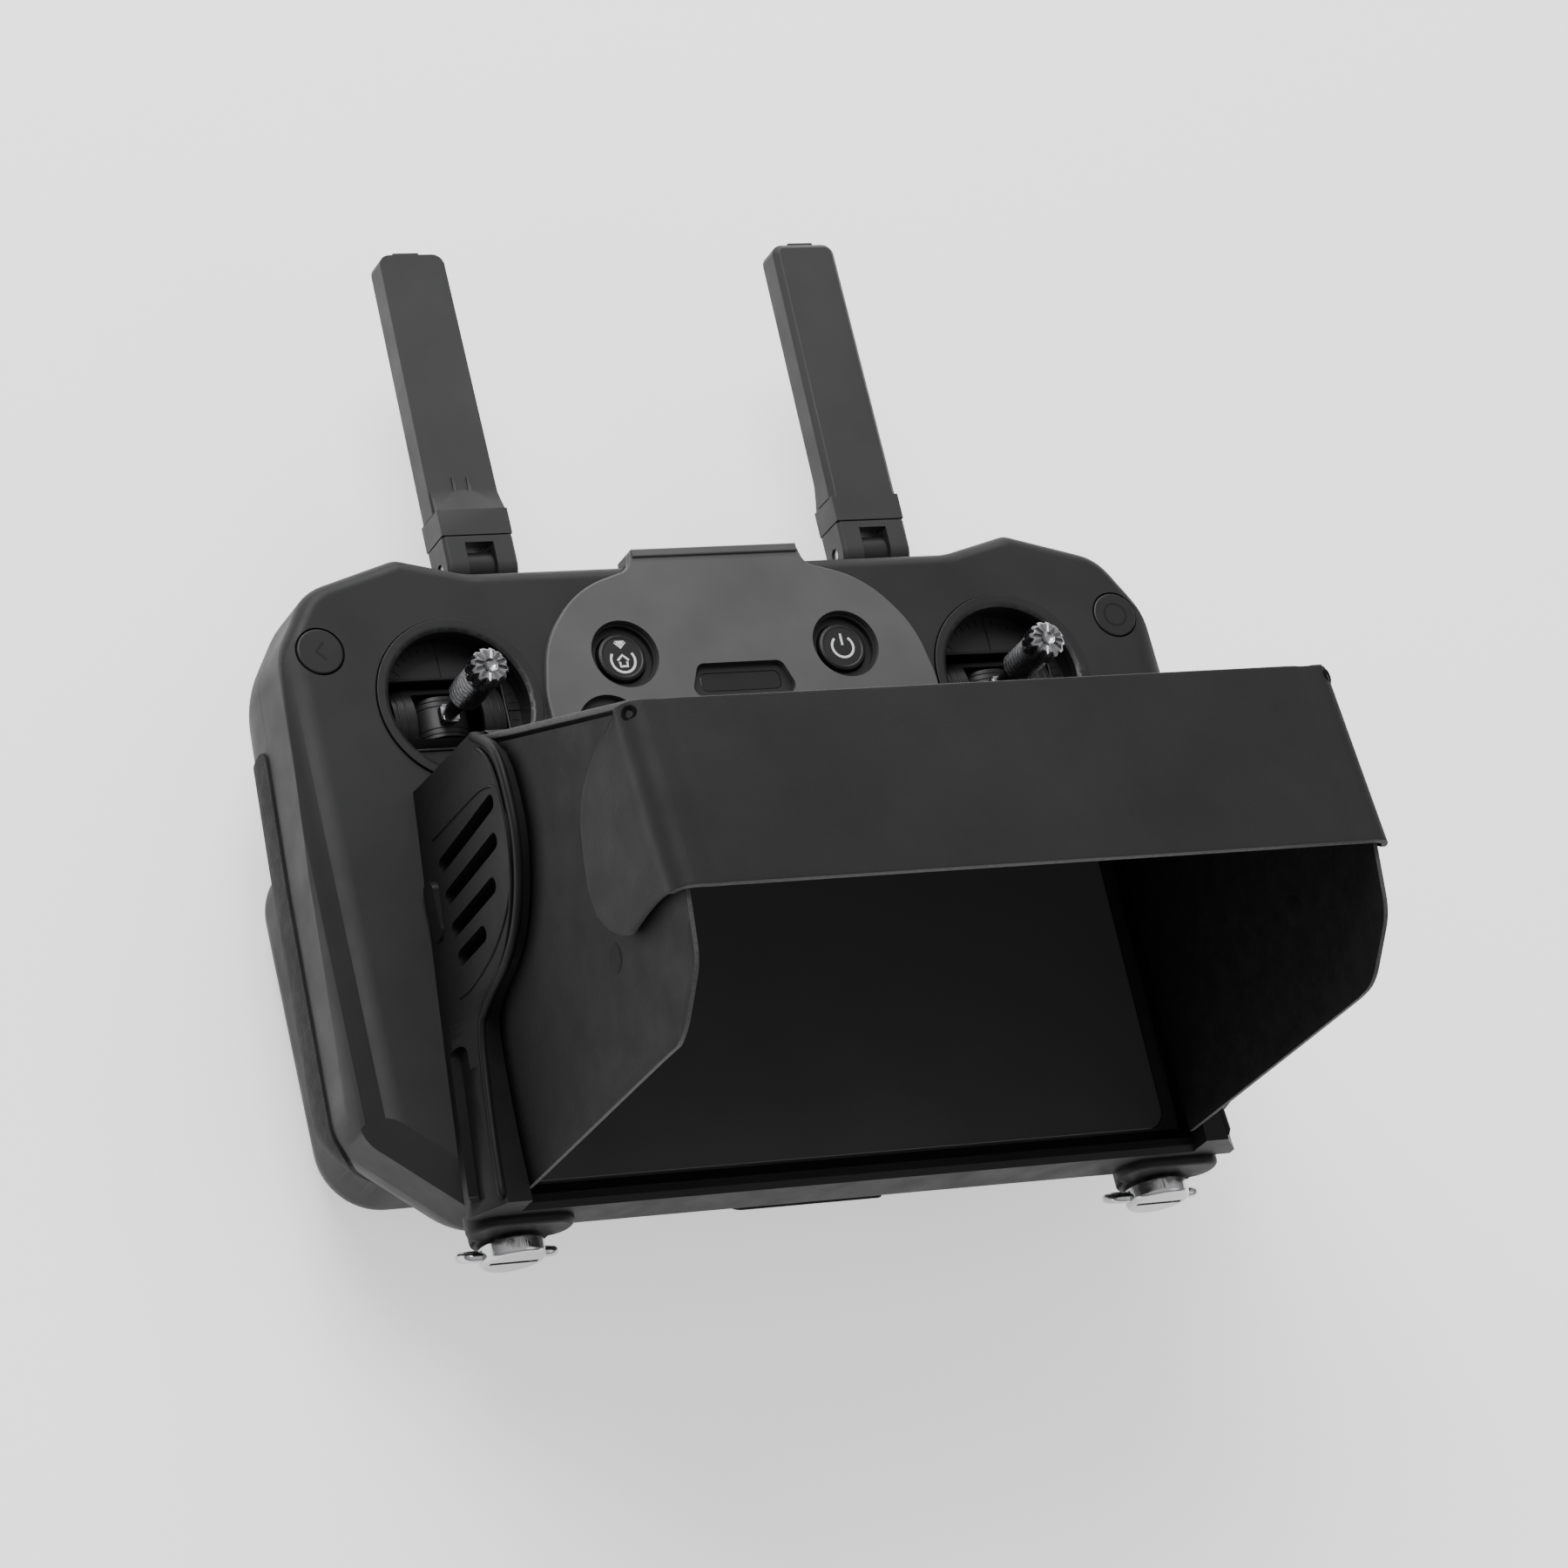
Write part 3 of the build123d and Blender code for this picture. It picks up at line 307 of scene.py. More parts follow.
def polished_metal(name, colour, roughness):
    s = Surface(name)
    s.colour(s.ramp(s.noise(90, 3), scaled(colour, 0.92), colour))
    s.rough(s.span(s.noise(900, 4, (1, 1, 6)), roughness * 0.6, roughness * 1.7))
    s.bump((s.noise(400, 4, (1, 8, 1)), 0.00001, 0.12))
    s.put(Metallic=1.0)
    return s.material


def cut_edge(name, colour):
    """Cut edge of a laminated sheet with a fine fibre grain, painted lighter than its skins as a painted highlight
    along the edge.
    """
    s = Surface(name)
    s.colour(s.ramp(s.noise(1800, 3), scaled(colour, 0.6), scaled(colour, 1.3)))
    s.rough(s.span(s.noise(900, 2), 0.7, 0.9))
    s.bump((s.noise(3500, 3), 0.00005, 0.6))
    return s.material


def screen_cover(name):
    s = Surface(name)
    s.colour(s.ramp(s.noise(14, 3), (0.019, 0.019, 0.0195), (0.022, 0.022, 0.0225)))
    s.rough(s.span(s.noise(50, 5), 0.28, 0.36))
    s.bump((s.noise(30, 2), 0.00001, 0.05))
    s.put(Specular_IOR_Level=0.5, Coat_Weight=0.15, Coat_Roughness=0.12)
    # painted glow: the dark cover glows faintly, standing in for the light it reflects
    s.put(Emission_Color=(1, 1, 1, 1), Emission_Strength=0.0078)
    return s.material


def printed_board(name):
    s = Surface(name)
    s.colour(s.ramp(s.cells(420, "F1", (1, 3, 1)), (0.008, 0.055, 0.022), (0.02, 0.11, 0.05)))
    s.rough(s.span(s.noise(200, 3), 0.35, 0.55))
    s.bump((s.cells(420, "F1", (1, 3, 1)), 0.00003, 0.3))
    return s.material


MATERIALS = {
    "shell_plastic": moulded_plastic("shell_plastic", (0.0168, 0.0168, 0.0173), 0.52, gloss=0.22),
    "rubber_grip": stippled_rubber("rubber_grip", (0.0145, 0.0145, 0.015)),
    "screen_glass": screen_cover("screen_glass"),
    "display": moulded_plastic("display", (0.01, 0.01, 0.012), 0.25, 900),
    "circuit_board": printed_board("circuit_board"),
    "key_plastic": moulded_plastic("key_plastic", (0.0105, 0.0105, 0.011), 0.42, 3200),
    "led_lens": moulded_plastic("led_lens", (0.012, 0.012, 0.0125), 0.25, 1500),
    "dial_plastic": moulded_plastic("dial_plastic", (0.012, 0.012, 0.012), 0.5, 3000),
    "steel": polished_metal("steel", (0.5, 0.5, 0.5), 0.3),
    "gimbal_plastic": moulded_plastic("gimbal_plastic", (0.0105, 0.0105, 0.011), 0.42, 3200),
    "stick_metal": polished_metal("stick_metal", (0.17, 0.17, 0.175), 0.3),
    "antenna_plastic": moulded_plastic("antenna_plastic", (0.026, 0.026, 0.0267), 0.55),
    "hood_plate_plastic": moulded_plastic("hood_plate_plastic", (0.07, 0.07, 0.0715), 0.5, 2800),
    "hood_frame_plastic": moulded_plastic("hood_frame_plastic", (0.006, 0.006, 0.0062), 0.48, 3000,
                                          gloss=0.16),
    "hood_sheet": leatherette("hood_sheet", (0.0145, 0.0145, 0.0149)),
    "strap_chrome": polished_metal("strap_chrome", (0.5, 0.5, 0.51), 0.15),
}
# the side sheets are the same leatherette as the roof and visor, painted darker: painted shade on the sides turned
# from the light
SIDE_SHEET_PAINTED_SHADE = leatherette("side_sheet_painted_shade", (0.006, 0.006, 0.0062))
LINING = flocked("hood_lining", (0.0065, 0.0065, 0.0065))
SHEET_EDGE_HIGHLIGHT = cut_edge("hood_sheet_edge_painted_highlight", (0.045, 0.045, 0.045))
CROWN_METAL = polished_metal("crown_metal", (0.33, 0.33, 0.34), 0.2)
PRINT_WHITE = moulded_plastic("print_white", (0.62, 0.62, 0.62), 0.6, 1500, spread=0.05)
INK_DARK = moulded_plastic("ink_dark", (0.004, 0.004, 0.004), 0.35, 1500)
PRESSED_DISC = leatherette("pressed_disc", (0.0024, 0.0024, 0.0025))
# near-black ring and dish: painted shade standing in for the dark inside the punched relief hole
EYELET_PAINTED_SHADE = flocked("eyelet_painted_shade", (0.0009, 0.0009, 0.0009))


# ------------------------------------------------------------------ shared builders
def mm(*values):
    """A point given in millimetres, as a vector in metres."""
    return Vector(values) * MM


def on_side(point, side):
    """A point laid out for the right, or its mirror image for the left."""
    return Vector((point[0] * side, point[1], point[2]))


def place_piece(name, mesh, body, slot_name, *materials):
    """Puts a finished mesh into the scene; it rides on its body when one is given."""
    piece = bpy.data.objects.new(name, mesh)
    bpy.context.scene.collection.objects.link(piece)
    for material in materials or (MATERIALS[slot_name],):
        mesh.materials.append(material)
    if body:
        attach(piece, body)
    return piece


def mesh_from(points, faces, smooth=True):
    mesh = bpy.data.meshes.new("shape")
    mesh.from_pydata([tuple(p) for p in points], [], faces)
    mesh.polygons.foreach_set("use_smooth", [smooth] * len(mesh.polygons))
    mesh.update()
    return mesh


def grid_mesh(rows):
    """Open sheet through rows of points, all of one length."""
    wide = len(rows[0])
    faces = []
    for r in range(len(rows) - 1):
        for c in range(wide - 1):
            i = r * wide + c
            faces.append((i, i + 1, i + wide + 1, i + wide))
    return mesh_from([p for row in rows for p in row], faces)


def tube_mesh(path, radius, sides, closed=False):
    """Round bead along a path."""
    rings = []
    count = len(path)
    for i, point in enumerate(path):
        ahead = path[(i + 1) % count] if closed or i + 1 < count else point
        behind = path[i - 1] if closed or i else point
        way = (ahead - behind).normalized()
        across = way.cross(Vector((0.31, 0.17, 0.94))).normalized()
        other = way.cross(across)
        r = radius if closed or 0 < i < count - 1 else radius * 0.4
        rings.append([point + across * (r * math.cos(a)) + other * (r * math.sin(a))
                      for a in (2 * math.pi * k / sides for k in range(sides))])
    faces = []
    for i in range(count if closed else count - 1):
        j = (i + 1) % count
        for k in range(sides):
            m = (k + 1) % sides
            faces.append((i * sides + k, i * sides + m, j * sides + m, j * sides + k))
    if not closed:
        faces.append(tuple(range(sides))[::-1])
        faces.append(tuple(range((count - 1) * sides, count * sides)))
    return mesh_from([p for ring in rings for p in ring], faces)


def lathe_mesh(profile, centre, turns):
    """Solid of revolution about an upright axis; the profile is radius, height in millimetres."""
    points, faces = [], []
    for i in range(turns):
        a = 2 * math.pi * i / turns
        for r, z in profile:
            points.append(centre + mm(r * math.cos(a), r * math.sin(a), z))
    n = len(profile)
    for i in range(turns):
        j = (i + 1) % turns
        for k in range(n - 1):
            faces.append((i * n + k, j * n + k, j * n + k + 1, i * n + k + 1))
    return mesh_from(points, faces)


def catmull(points, steps):
    """Smooth path through points given as tuples."""
    rows = [points[0]] + list(points) + [points[-1]]
    made = []
    for a, b, c, d in zip(rows, rows[1:], rows[2:], rows[3:]):
        for i in range(steps):
            t = i / steps
            w = ((-t + 2 * t**2 - t**3) / 2, (2 - 5 * t**2 + 3 * t**3) / 2,
                 (t + 4 * t**2 - 3 * t**3) / 2, (t**3 - t**2) / 2)
            made.append(tuple(sum(k * v for k, v in zip(w, values)) for values in zip(a, b, c, d)))
    return made + [tuple(points[-1])]


WELD_REACH = 0.000004         # corners closer than this are one
FLAT_ANGLE = 0.6              # degrees between facets that still count as one plane
EDGE_ANGLE = 38               # degrees from which an edge counts as sharp


def soften(name, width):
    """Rounds the sharp edges of a CAD node with modifiers, its mesh untouched."""
    piece = nodes[name]
    piece.data.polygons.foreach_set("use_smooth", [True] * len(piece.data.polygons))
    weld = piece.modifiers.new("weld", "WELD")
    weld.merge_threshold = WELD_REACH
    planar = piece.modifiers.new("planar", "DECIMATE")
    planar.decimate_type = "DISSOLVE"
    planar.angle_limit = math.radians(FLAT_ANGLE)
    bevel = piece.modifiers.new("bevel", "BEVEL")
    bevel.width = width * MM
    bevel.segments = 2
    bevel.limit_method = "ANGLE"
    bevel.angle_limit = math.radians(EDGE_ANGLE)
    bevel.harden_normals = True
    bevel.use_clamp_overlap = True
    bevel.miter_outer = "MITER_ARC"
    weighted = piece.modifiers.new("even_faces", "WEIGHTED_NORMAL")
    weighted.keep_sharp = True
    weighted.weight = 100


# width of the rounded edges of each CAD node
SOFT_EDGES = {
    "front_shell": 0.35, "rear_shell": 0.4, "side_grip_left": 0.3, "side_grip_right": 0.3, "rear_feet": 0.6,
    "battery_pack": 0.4, "battery_latch": 0.3, "led_bar": 0.3, "mode_switch": 0.3, "port_cover": 0.4,
    "hood_faceplate": 0.35, "hood_collar": 0.5, "antenna_knuckle_left": 0.4, "antenna_knuckle_right": 0.4,
    "antenna_paddle_left": 0.5, "antenna_paddle_right": 0.5, "screen_glass": 0.12,
    "gimbal_ring_left": 0.2, "gimbal_ring_right": 0.2, "gimbal_cup_left": 0.2, "gimbal_cup_right": 0.2,
    "gimbal_yoke_left": 0.3, "gimbal_yoke_right": 0.3, "gimbal_drum_left": 0.15, "gimbal_drum_right": 0.15,
    "strap_screw_left": 0.25, "strap_screw_right": 0.25, "home_key": 0.2, "power_key": 0.2,
    "back_key": 0.2, "confirm_key": 0.2, "thumb_dial_left": 0.15, "thumb_dial_right": 0.15,
    "scroll_wheel": 0.12, "stick_crown_left": 0.15, "stick_crown_right": 0.15,
}


# ------------------------------------------------------------------ hood sheets
SHEET_T = 1.5
VISOR_HIGH = box_mm("hood_visor")[1]
VISOR_HALF = VISOR_HIGH[0]
FOLD = (VISOR_HIGH[1], joint_place["hood_visor_lift"][2])     # y, z of the fold between roof and visor
LIP = (-50.0, VISOR_HIGH[2])
BEND_R = 5.0                             # radius over which the flap rolls into its wings
BEND_ARC = BEND_R * math.pi / 2
FLAP_FLAT = VISOR_HALF - BEND_R          # half width of the flap's flat part
FLAP_DROP = 0.7                          # the flap lies this far under the line from fold to lip
FLAP_ROWS = [0, 0.012, 0.03, 0.06, 0.1, 0.15, 0.2, 0.26, 0.33, 0.4, 0.48, 0.56, 0.64, 0.72, 0.79,
             0.85, 0.9, 0.94, 0.97, 0.985, 1]
# how far each wing hangs below the visor: y, depth
WING_DEPTH = [(-2.9, 0.6), (-4.0, 7.0), (-6.0, 15.0), (-9.0, 24.0), (-13.0, 31.5), (-18.0, 36.0),
              (-25.0, 39.0), (-33.0, 41.6), (-40.0, 41.2), (-45.0, 37.5), (-48.5, 33.0), (-50.0, 29.0)]


def along(table, place):
    """Linear look-up in a table whose first column falls."""
    for (p0, v0), (p1, v1) in zip(table, table[1:]):
        if p1 <= place <= p0:
            return v0 + (v1 - v0) * (p0 - place) / (p0 - p1)
    return table[-1][1] if place < table[-1][0] else table[0][1]


def crease(distance, depth, width):
    """Depth of a soft groove at a distance from its middle."""
    return depth * math.exp(-(distance / width) ** 2)


def add_thickness(piece, thick=SHEET_T):
    """Gives a sheet its thickness: the second material lines it, the third shows on the cut edge."""
    solid = piece.modifiers.new("thickness", "SOLIDIFY")
    solid.thickness = thick * MM
    solid.offset = -1
    solid.material_offset = 1
    solid.material_offset_rim = 2
    bevel = piece.modifiers.new("soft_edge", "BEVEL")
    bevel.width = 0.3 * MM
    bevel.segments = 2
    bevel.limit_method = "ANGLE"
    bevel.angle_limit = math.radians(50)
    # the rounded edge takes the lighter edge paint, a painted highlight
    bevel.material = 2


def visor_line(place):
    """y and z on the flap's middle line, place running from the fold (0) to the lip (1)."""
    return [a + (b - a) * place for a, b in zip(FOLD, LIP)]


def visor_point(place, reach):
    """Point of the visor; reach is the arc length from the middle of the flap, left or right."""
    y, z = visor_line(place)
    z -= FLAP_DROP
    side = 1 if reach >= 0 else -1
    arc = abs(reach)
    if arc <= FLAP_FLAT:
        sag = 0.42 * math.sin(math.pi * place) * math.sin(math.pi * arc / FLAP_FLAT) ** 2
        ripple = 0.1 * math.sin(reach * 0.06 + 2.2 * place)
        return mm(side * arc, y, z + sag + ripple - crease(arc - FLAP_FLAT + 5.0, 0.12, 2.2))
    if arc <= FLAP_FLAT + BEND_ARC:
        turn = (arc - FLAP_FLAT) / BEND_R
        return mm(side * (FLAP_FLAT + BEND_R * math.sin(turn)), y, z - BEND_R * (1 - math.cos(turn)))
    depth = arc - FLAP_FLAT - BEND_ARC + BEND_R
    full = max(along(WING_DEPTH, y), BEND_R + 0.4)
    bulge = math.sin(math.pi * min(depth / full, 1))
    inward = 0.35 * bulge + crease(depth - BEND_R - 2.5, 0.3, 1.2)
    return mm(side * (VISOR_HALF - inward), y + 1.6 * bulge * place**4, z - depth)


def make_visor():
    """One sheet: the flap, rolled over both ends into the wings that lap over the side panels."""
    flap = [FLAP_FLAT * i / 24 for i in range(20)]
    flap += [FLAP_FLAT - 17.0 + i * 0.8 for i in range(22)]
    flap = sorted({round(v, 4) for v in flap + [FLAP_FLAT]})
    bend = [FLAP_FLAT + BEND_ARC * i / 8 for i in range(1, 9)]
    rows = []
    for place in reversed(FLAP_ROWS):
        full = max(along(WING_DEPTH, visor_line(place)[0]) - BEND_R, 0.4)
        wing = [FLAP_FLAT + BEND_ARC + full * i / 16 for i in range(1, 17)]
        right = flap + bend + wing
        reaches = [-v for v in reversed(right)] + right[1:]
        rows.append([visor_point(place, reach) for reach in reaches])
    visor = place_piece("visor_sheet", grid_mesh(rows), "hood_visor", "hood_sheet",
                        MATERIALS["hood_sheet"], LINING, SHEET_EDGE_HIGHLIGHT)
    add_thickness(visor)
    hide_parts("hood_visor")
    # each eyelet is painted near black, painted shade of the relief hole
    for side in (LEFT, RIGHT):
        place_piece("visor_eyelet_" + SIDES[side], eyelet_mesh(side), "hood_visor", "hood_sheet",
                    EYELET_PAINTED_SHADE)


EYELET_PLACE = (VISOR_HALF - 1.7, FOLD[0] - 2.6, FOLD[1] - 1.8)
EYELET_TILT = 42              # degrees outward
EYELET_R = 1.35


def eyelet_mesh(side):
    """Low rounded ring about a shallow dish, at the corner where flap, roof and wing meet."""
    rises = [(0.7, -0.45), (0.45, 0.22), (0.15, 0.36), (-0.1, 0.26), (-0.35, 0.1)]
    profile = [(EYELET_R + out, height) for out, height in rises] + [(0.05, 0.08)]
    mesh = lathe_mesh(profile, Vector((0, 0, 0)), 28)
    tilt = Matrix.Rotation(side * math.radians(EYELET_TILT), 4, "Y")
    mesh.transform(Matrix.Translation(on_side(mm(*EYELET_PLACE), side)) @ tilt)
    return mesh


ROOF_ROOT = joint_place["hood_roof_lift"][1:]
ROOF_HALF = box_mm("hood_roof")[1][0] - 0.1
ROOF_CREASE = 84.5            # x of the pressed line along each side
ROOF_ROWS, ROOF_COLUMNS = 22, 36


def make_roof():
    """Sheet from the collar to the fold, bowed a little and creased along both sides."""
    top = (FOLD[0] + 0.9, FOLD[1] - 1.2)
    rows = []
    for i in range(ROOF_ROWS + 1):
        t = i / ROOF_ROWS
        y, z = [a + (b - a) * t for a, b in zip(top, ROOF_ROOT)]
        row = []
        for j in range(-ROOF_COLUMNS, ROOF_COLUMNS + 1):
            x = ROOF_HALF * j / ROOF_COLUMNS
            bow = 0.5 * math.sin(math.pi * t) * math.cos(math.pi * x / 190) - 0.5
            bow -= crease(abs(x) - ROOF_CREASE, 0.35, 1.6)
            row.append(mm(x, y + bow * 0.94, z + bow * 0.3))
        rows.append(row)
    roof = place_piece("roof_sheet", grid_mesh(rows), "hood_roof", "hood_sheet",
                       MATERIALS["hood_sheet"], LINING, SHEET_EDGE_HIGHLIGHT)
    add_thickness(roof)
    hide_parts("hood_roof")


TAPE_HALF = 88.0
TAPE_T = 0.4
# outer face of the hinge tape, from the collar's top wall to the roof: y, z
TAPE = [(25.3, 92.5), (25.3, 95.0), (25.3, 97.0), (25.1, 98.2), (24.7, 98.9), (24.2, 99.6),
        (23.75, 100.3), (23.19, 101.2), (22.6, 103.0), (21.95, 105.0), (21.3, 107.0)]


def make_roof_tape():
    """Soft strip that joins the roof to the collar."""
    rows = [[mm(TAPE_HALF * j / 24, y, z) for j in range(-24, 25)] for y, z in reversed(TAPE)]
    tape = place_piece("roof_tape", grid_mesh(rows), None, "hood_sheet", MATERIALS["hood_sheet"],
                       LINING, SHEET_EDGE_HIGHLIGHT)
    add_thickness(tape, TAPE_T)
    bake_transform(tape)


PANEL_OUT = box_mm("hood_panel_right")[1][0]
PANEL_T = 1.1
PANEL_GRID = 4                # spacing of the cuts that let the sheet bow
# outline of the side sheets: y, z and corner radius
PANEL_OUTLINE = [(21.4, 70.0, 0), (21.4, 97.2, 3), (-4.4, 177.0, 1.5), (-49.0, 183.2, 6),
                 (-66.0, 180.5, 12), (-79.0, 166.0, 14), (-79.0, 70.0, 0)]
MAGNET_PLACE = [round((a + b) / 2, 3) for a, b in zip(*box_mm("hood_magnet_right"))][1:]      # y, z
# the mark that the magnet presses into the sheet, and the magnet's back under the lining
MAGNET_MARK = [(0.05, 0.24), (2.6, 0.23), (3.3, 0.18), (3.8, -0.1)]
MAGNET_FACE = [(3.6, -0.9), (3.6, -1.16), (3.45, -1.22), (0.05, -1.22)]


CORNER_STEPS = 7


def rounded_outline(corners):
    """Outline with its corners rounded, as a list of points."""
    made = []
    count = len(corners)
    for i, (y, z, r) in enumerate(corners):
        here = Vector((y, z))
        before = (Vector(corners[i - 1][:2]) - here).normalized()
        after = (Vector(corners[(i + 1) % count][:2]) - here).normalized()
        if not r:
            made.append(here)
            continue
        half = before.angle(after) / 2
        reach = r / math.tan(half)
        centre = here + (before + after).normalized() * (r / math.sin(half))
        start = here + before * reach - centre
        turn = start.angle_signed(here + after * reach - centre)
        for k in range(CORNER_STEPS + 1):
            a = -turn * k / CORNER_STEPS
            made.append(centre + Vector((start.x * math.cos(a) - start.y * math.sin(a),
                                         start.x * math.sin(a) + start.y * math.cos(a))))
    return made


def panel_warp(y, z):
    """How far the side sheet bows inward: soft along its free edge, flat where the collar holds it."""
    free = max(0.0, min(1.0, (z - 100) / 80))
    wave = 0.45 * math.sin((y + 79) / 100 * math.pi) * free**1.5
    ripple = 0.175 * math.sin(z * 0.055 + y * 0.03) * free
    return -(0.45 + wave + ripple + crease(z - 0.107 * y - 170.5, 0.25, 1.8))


def panel_mesh(side):
    """The outline cut into a grid and bowed."""
    work = bmesh.new()
    work.faces.new([work.verts.new((0, p.x, p.y)) for p in rounded_outline(PANEL_OUTLINE)])
    for axis, low, high in ((1, -76, 20), (2, 74, 184)):
        for value in range(low, high, PANEL_GRID):
            bmesh.ops.bisect_plane(work, geom=work.verts[:] + work.edges[:] + work.faces[:],
                                   plane_co=[value if k == axis else 0 for k in range(3)],
                                   plane_no=[1 if k == axis else 0 for k in range(3)])
    for vert in work.verts:
        y, z = vert.co.y, vert.co.z
        vert.co = on_side(mm(PANEL_OUT + panel_warp(y, z), y, z), side)
    bmesh.ops.recalc_face_normals(work, faces=work.faces[:])
    if (work.faces[:][0].normal.x > 0) != (side > 0):
        bmesh.ops.reverse_faces(work, faces=work.faces[:])
    mesh = bpy.data.meshes.new("panel")
    work.to_mesh(mesh)
    work.free()
    mesh.polygons.foreach_set("use_smooth", [True] * len(mesh.polygons))
    return mesh


def make_panel(side):
    body = "hood_side_" + SIDES[side]
    # the side sheet takes the darker copy of the leatherette, painted shade
    panel = place_piece("side_sheet_painted_shade_" + SIDES[side], panel_mesh(side), body, "hood_sheet",
                        SIDE_SHEET_PAINTED_SHADE, LINING, SHEET_EDGE_HIGHLIGHT)
    add_thickness(panel, PANEL_T)
    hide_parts("hood_panel_" + SIDES[side])
    # the magnet shows through the sheet as a faint disc, and its back lies under the lining
    spot = on_side(mm(PANEL_OUT + panel_warp(*MAGNET_PLACE), *MAGNET_PLACE), side)
    out = Matrix.Translation(spot) @ Matrix.Rotation(side * math.pi / 2, 4, "Y")
    disc = lathe_mesh(MAGNET_MARK, Vector((0, 0, 0)), 32)
    disc.transform(out)
    place_piece("magnet_mark_" + SIDES[side], disc, body, "hood_sheet", PRESSED_DISC)
    face = lathe_mesh(MAGNET_FACE, Vector((0, 0, 0)), 32)
    face.transform(out)
    magnet = place_piece("magnet_face_" + SIDES[side], face, body, "hood_sheet", LINING)
    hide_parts("hood_magnet_" + SIDES[side])


# ------------------------------------------------------------------ beads on the collar
BEAD_R, LINE_R, RELIEF_R = 1.15, 0.55, 0.45
# S-shaped rim of the side walls: y, x, z
COLLAR_RIM = [(24.6, 91.4, 98.0), (14.0, 92.4, 111.5), (-2.0, 92.6, 114.0), (-14.0, 92.6, 111.0),
              (-24.0, 92.8, 104.5), (-31.0, 93.2, 95.0), (-36.0, 93.7, 81.0), (-42.0, 94.4, 75.5),
              (-64.0, 96.0, 73.5), (-81.6, 97.2, 73.5)]
# relief line round the slots of the side walls: y, z
RELIEF = [(9.5, 69.0), (9.8, 84.0), (9.6, 100.0), (6.0, 107.6), (-3.0, 109.6), (-12.0, 107.2),
          (-20.5, 100.6), (-27.0, 90.5), (-31.0, 78.0), (-31.4, 71.5)]
WALL_OUTSIDE = 120            # x beyond the side walls, where the rays towards them start
WALL_X = 88                   # a hit nearer the middle than this has gone through a slot


def place_bead(name, side, path, radius):
    bead = tube_mesh(path, radius * MM, 14 if radius > 1 else 10)
    place_piece(name + "_" + SIDES[side], bead, "controller", "hood_frame_plastic")


def make_collar_beads(side):
    """Rolled bead along the S-shaped rim of the collar and a finer one below it."""
    path = catmull(COLLAR_RIM, 8)
    rim = [on_side(mm(x - 0.2, y, z - 1.2), side) for y, x, z in path]
    place_bead("collar_bead", side, rim, BEAD_R)
    line = [on_side(mm(x + 0.35 + 0.003 * (z - 70), y, z - 4.6), side) for y, x, z in path[4:-3]]
    place_bead("collar_line", side, line, LINE_R)


def make_relief(side):
    """Fine raised line laid on the outer face of the side wall."""
    mesh = nodes["hood_collar"].data
    tree = BVHTree.FromPolygons([v.co for v in mesh.vertices], [tuple(f.vertices) for f in mesh.polygons])
    path = []
    for y, z in catmull(RELIEF, 8):
        hit = tree.ray_cast(on_side(mm(WALL_OUTSIDE, y, z), side), Vector((-side, 0, 0)))[0]
        if hit is not None and abs(hit.x) > WALL_X * MM:
            path.append(hit)
    place_bead("collar_relief", side, path, RELIEF_R)


# ------------------------------------------------------------------ sticks and gimbals
FACE_Z = box_mm("front_shell")[1][2]                  # the controller's face
STICK_AXIS = joint_place["stick_right_pitch"]
GIMBAL = (STICK_AXIS[0], STICK_AXIS[1], FACE_Z)
AXIS_DEPTH = STICK_AXIS[2] - FACE_Z                   # heights in this section count from the face
PLATE_DEPTH = -7.9
THREAD_PITCH = 1.4
THREAD_ROOT, THREAD_CREST = 3.6, 4.3
ROOT_SIZE = (4.6, 4.6, 2.2)
WINDOW_X, WINDOW_Y = 15.3, 9.2                        # half sizes of the window in the dished plate
SCALE_MARKS = 48
YOKE_R, DRUM_R = 10.0, 8.0


def gimbal_centre(side, height=0.0):
    return on_side(mm(GIMBAL[0], GIMBAL[1], GIMBAL[2] + height), side)


def make_stick(side):
    """Threaded sleeve, the square root that it screws onto, and the lock ring under the crown."""
    body = "stick_" + SIDES[side]
    profile = [(1.95, 1.0), (2.75, 1.05), (2.9, 1.25), (2.9, 2.9), (3.8, 3.1)]
    z = 3.3
    while z < 14.4:
        profile += [(THREAD_ROOT, z), (THREAD_CREST, z + THREAD_PITCH * 0.3),
                    (THREAD_CREST, z + THREAD_PITCH * 0.5), (THREAD_ROOT, z + THREAD_PITCH * 0.85)]
        z += THREAD_PITCH
    profile += [(4.1, 15.3), (3.9, 15.5), (3.9, 16.0), (1.9, 16.02)]
    sleeve = place_piece("stick_thread_" + SIDES[side], lathe_mesh(profile, gimbal_centre(side), 48),
                         body, "stick_metal")
    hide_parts("stick_sleeve_" + SIDES[side])
    block = bmesh.new()
    bmesh.ops.create_cube(block, size=1.0)
    bmesh.ops.bevel(block, geom=block.edges[:], offset=0.12, segments=2, affect="EDGES")
    for vert in block.verts:
        vert.co = gimbal_centre(side, PLATE_DEPTH) + mm(*(v * size for v, size in zip(vert.co, ROOT_SIZE)))
    mesh = bpy.data.meshes.new("root")
    block.to_mesh(mesh)
    block.free()
    place_piece("stick_root_" + SIDES[side], mesh, body, "stick_metal", CROWN_METAL)
    nodes["stick_crown_" + SIDES[side]].data.materials[0] = CROWN_METAL


BAR_FACES = ((4, 5, 6, 7), (3, 2, 1, 0), (0, 1, 5, 4), (1, 2, 6, 5), (2, 3, 7, 6), (3, 0, 4, 7))


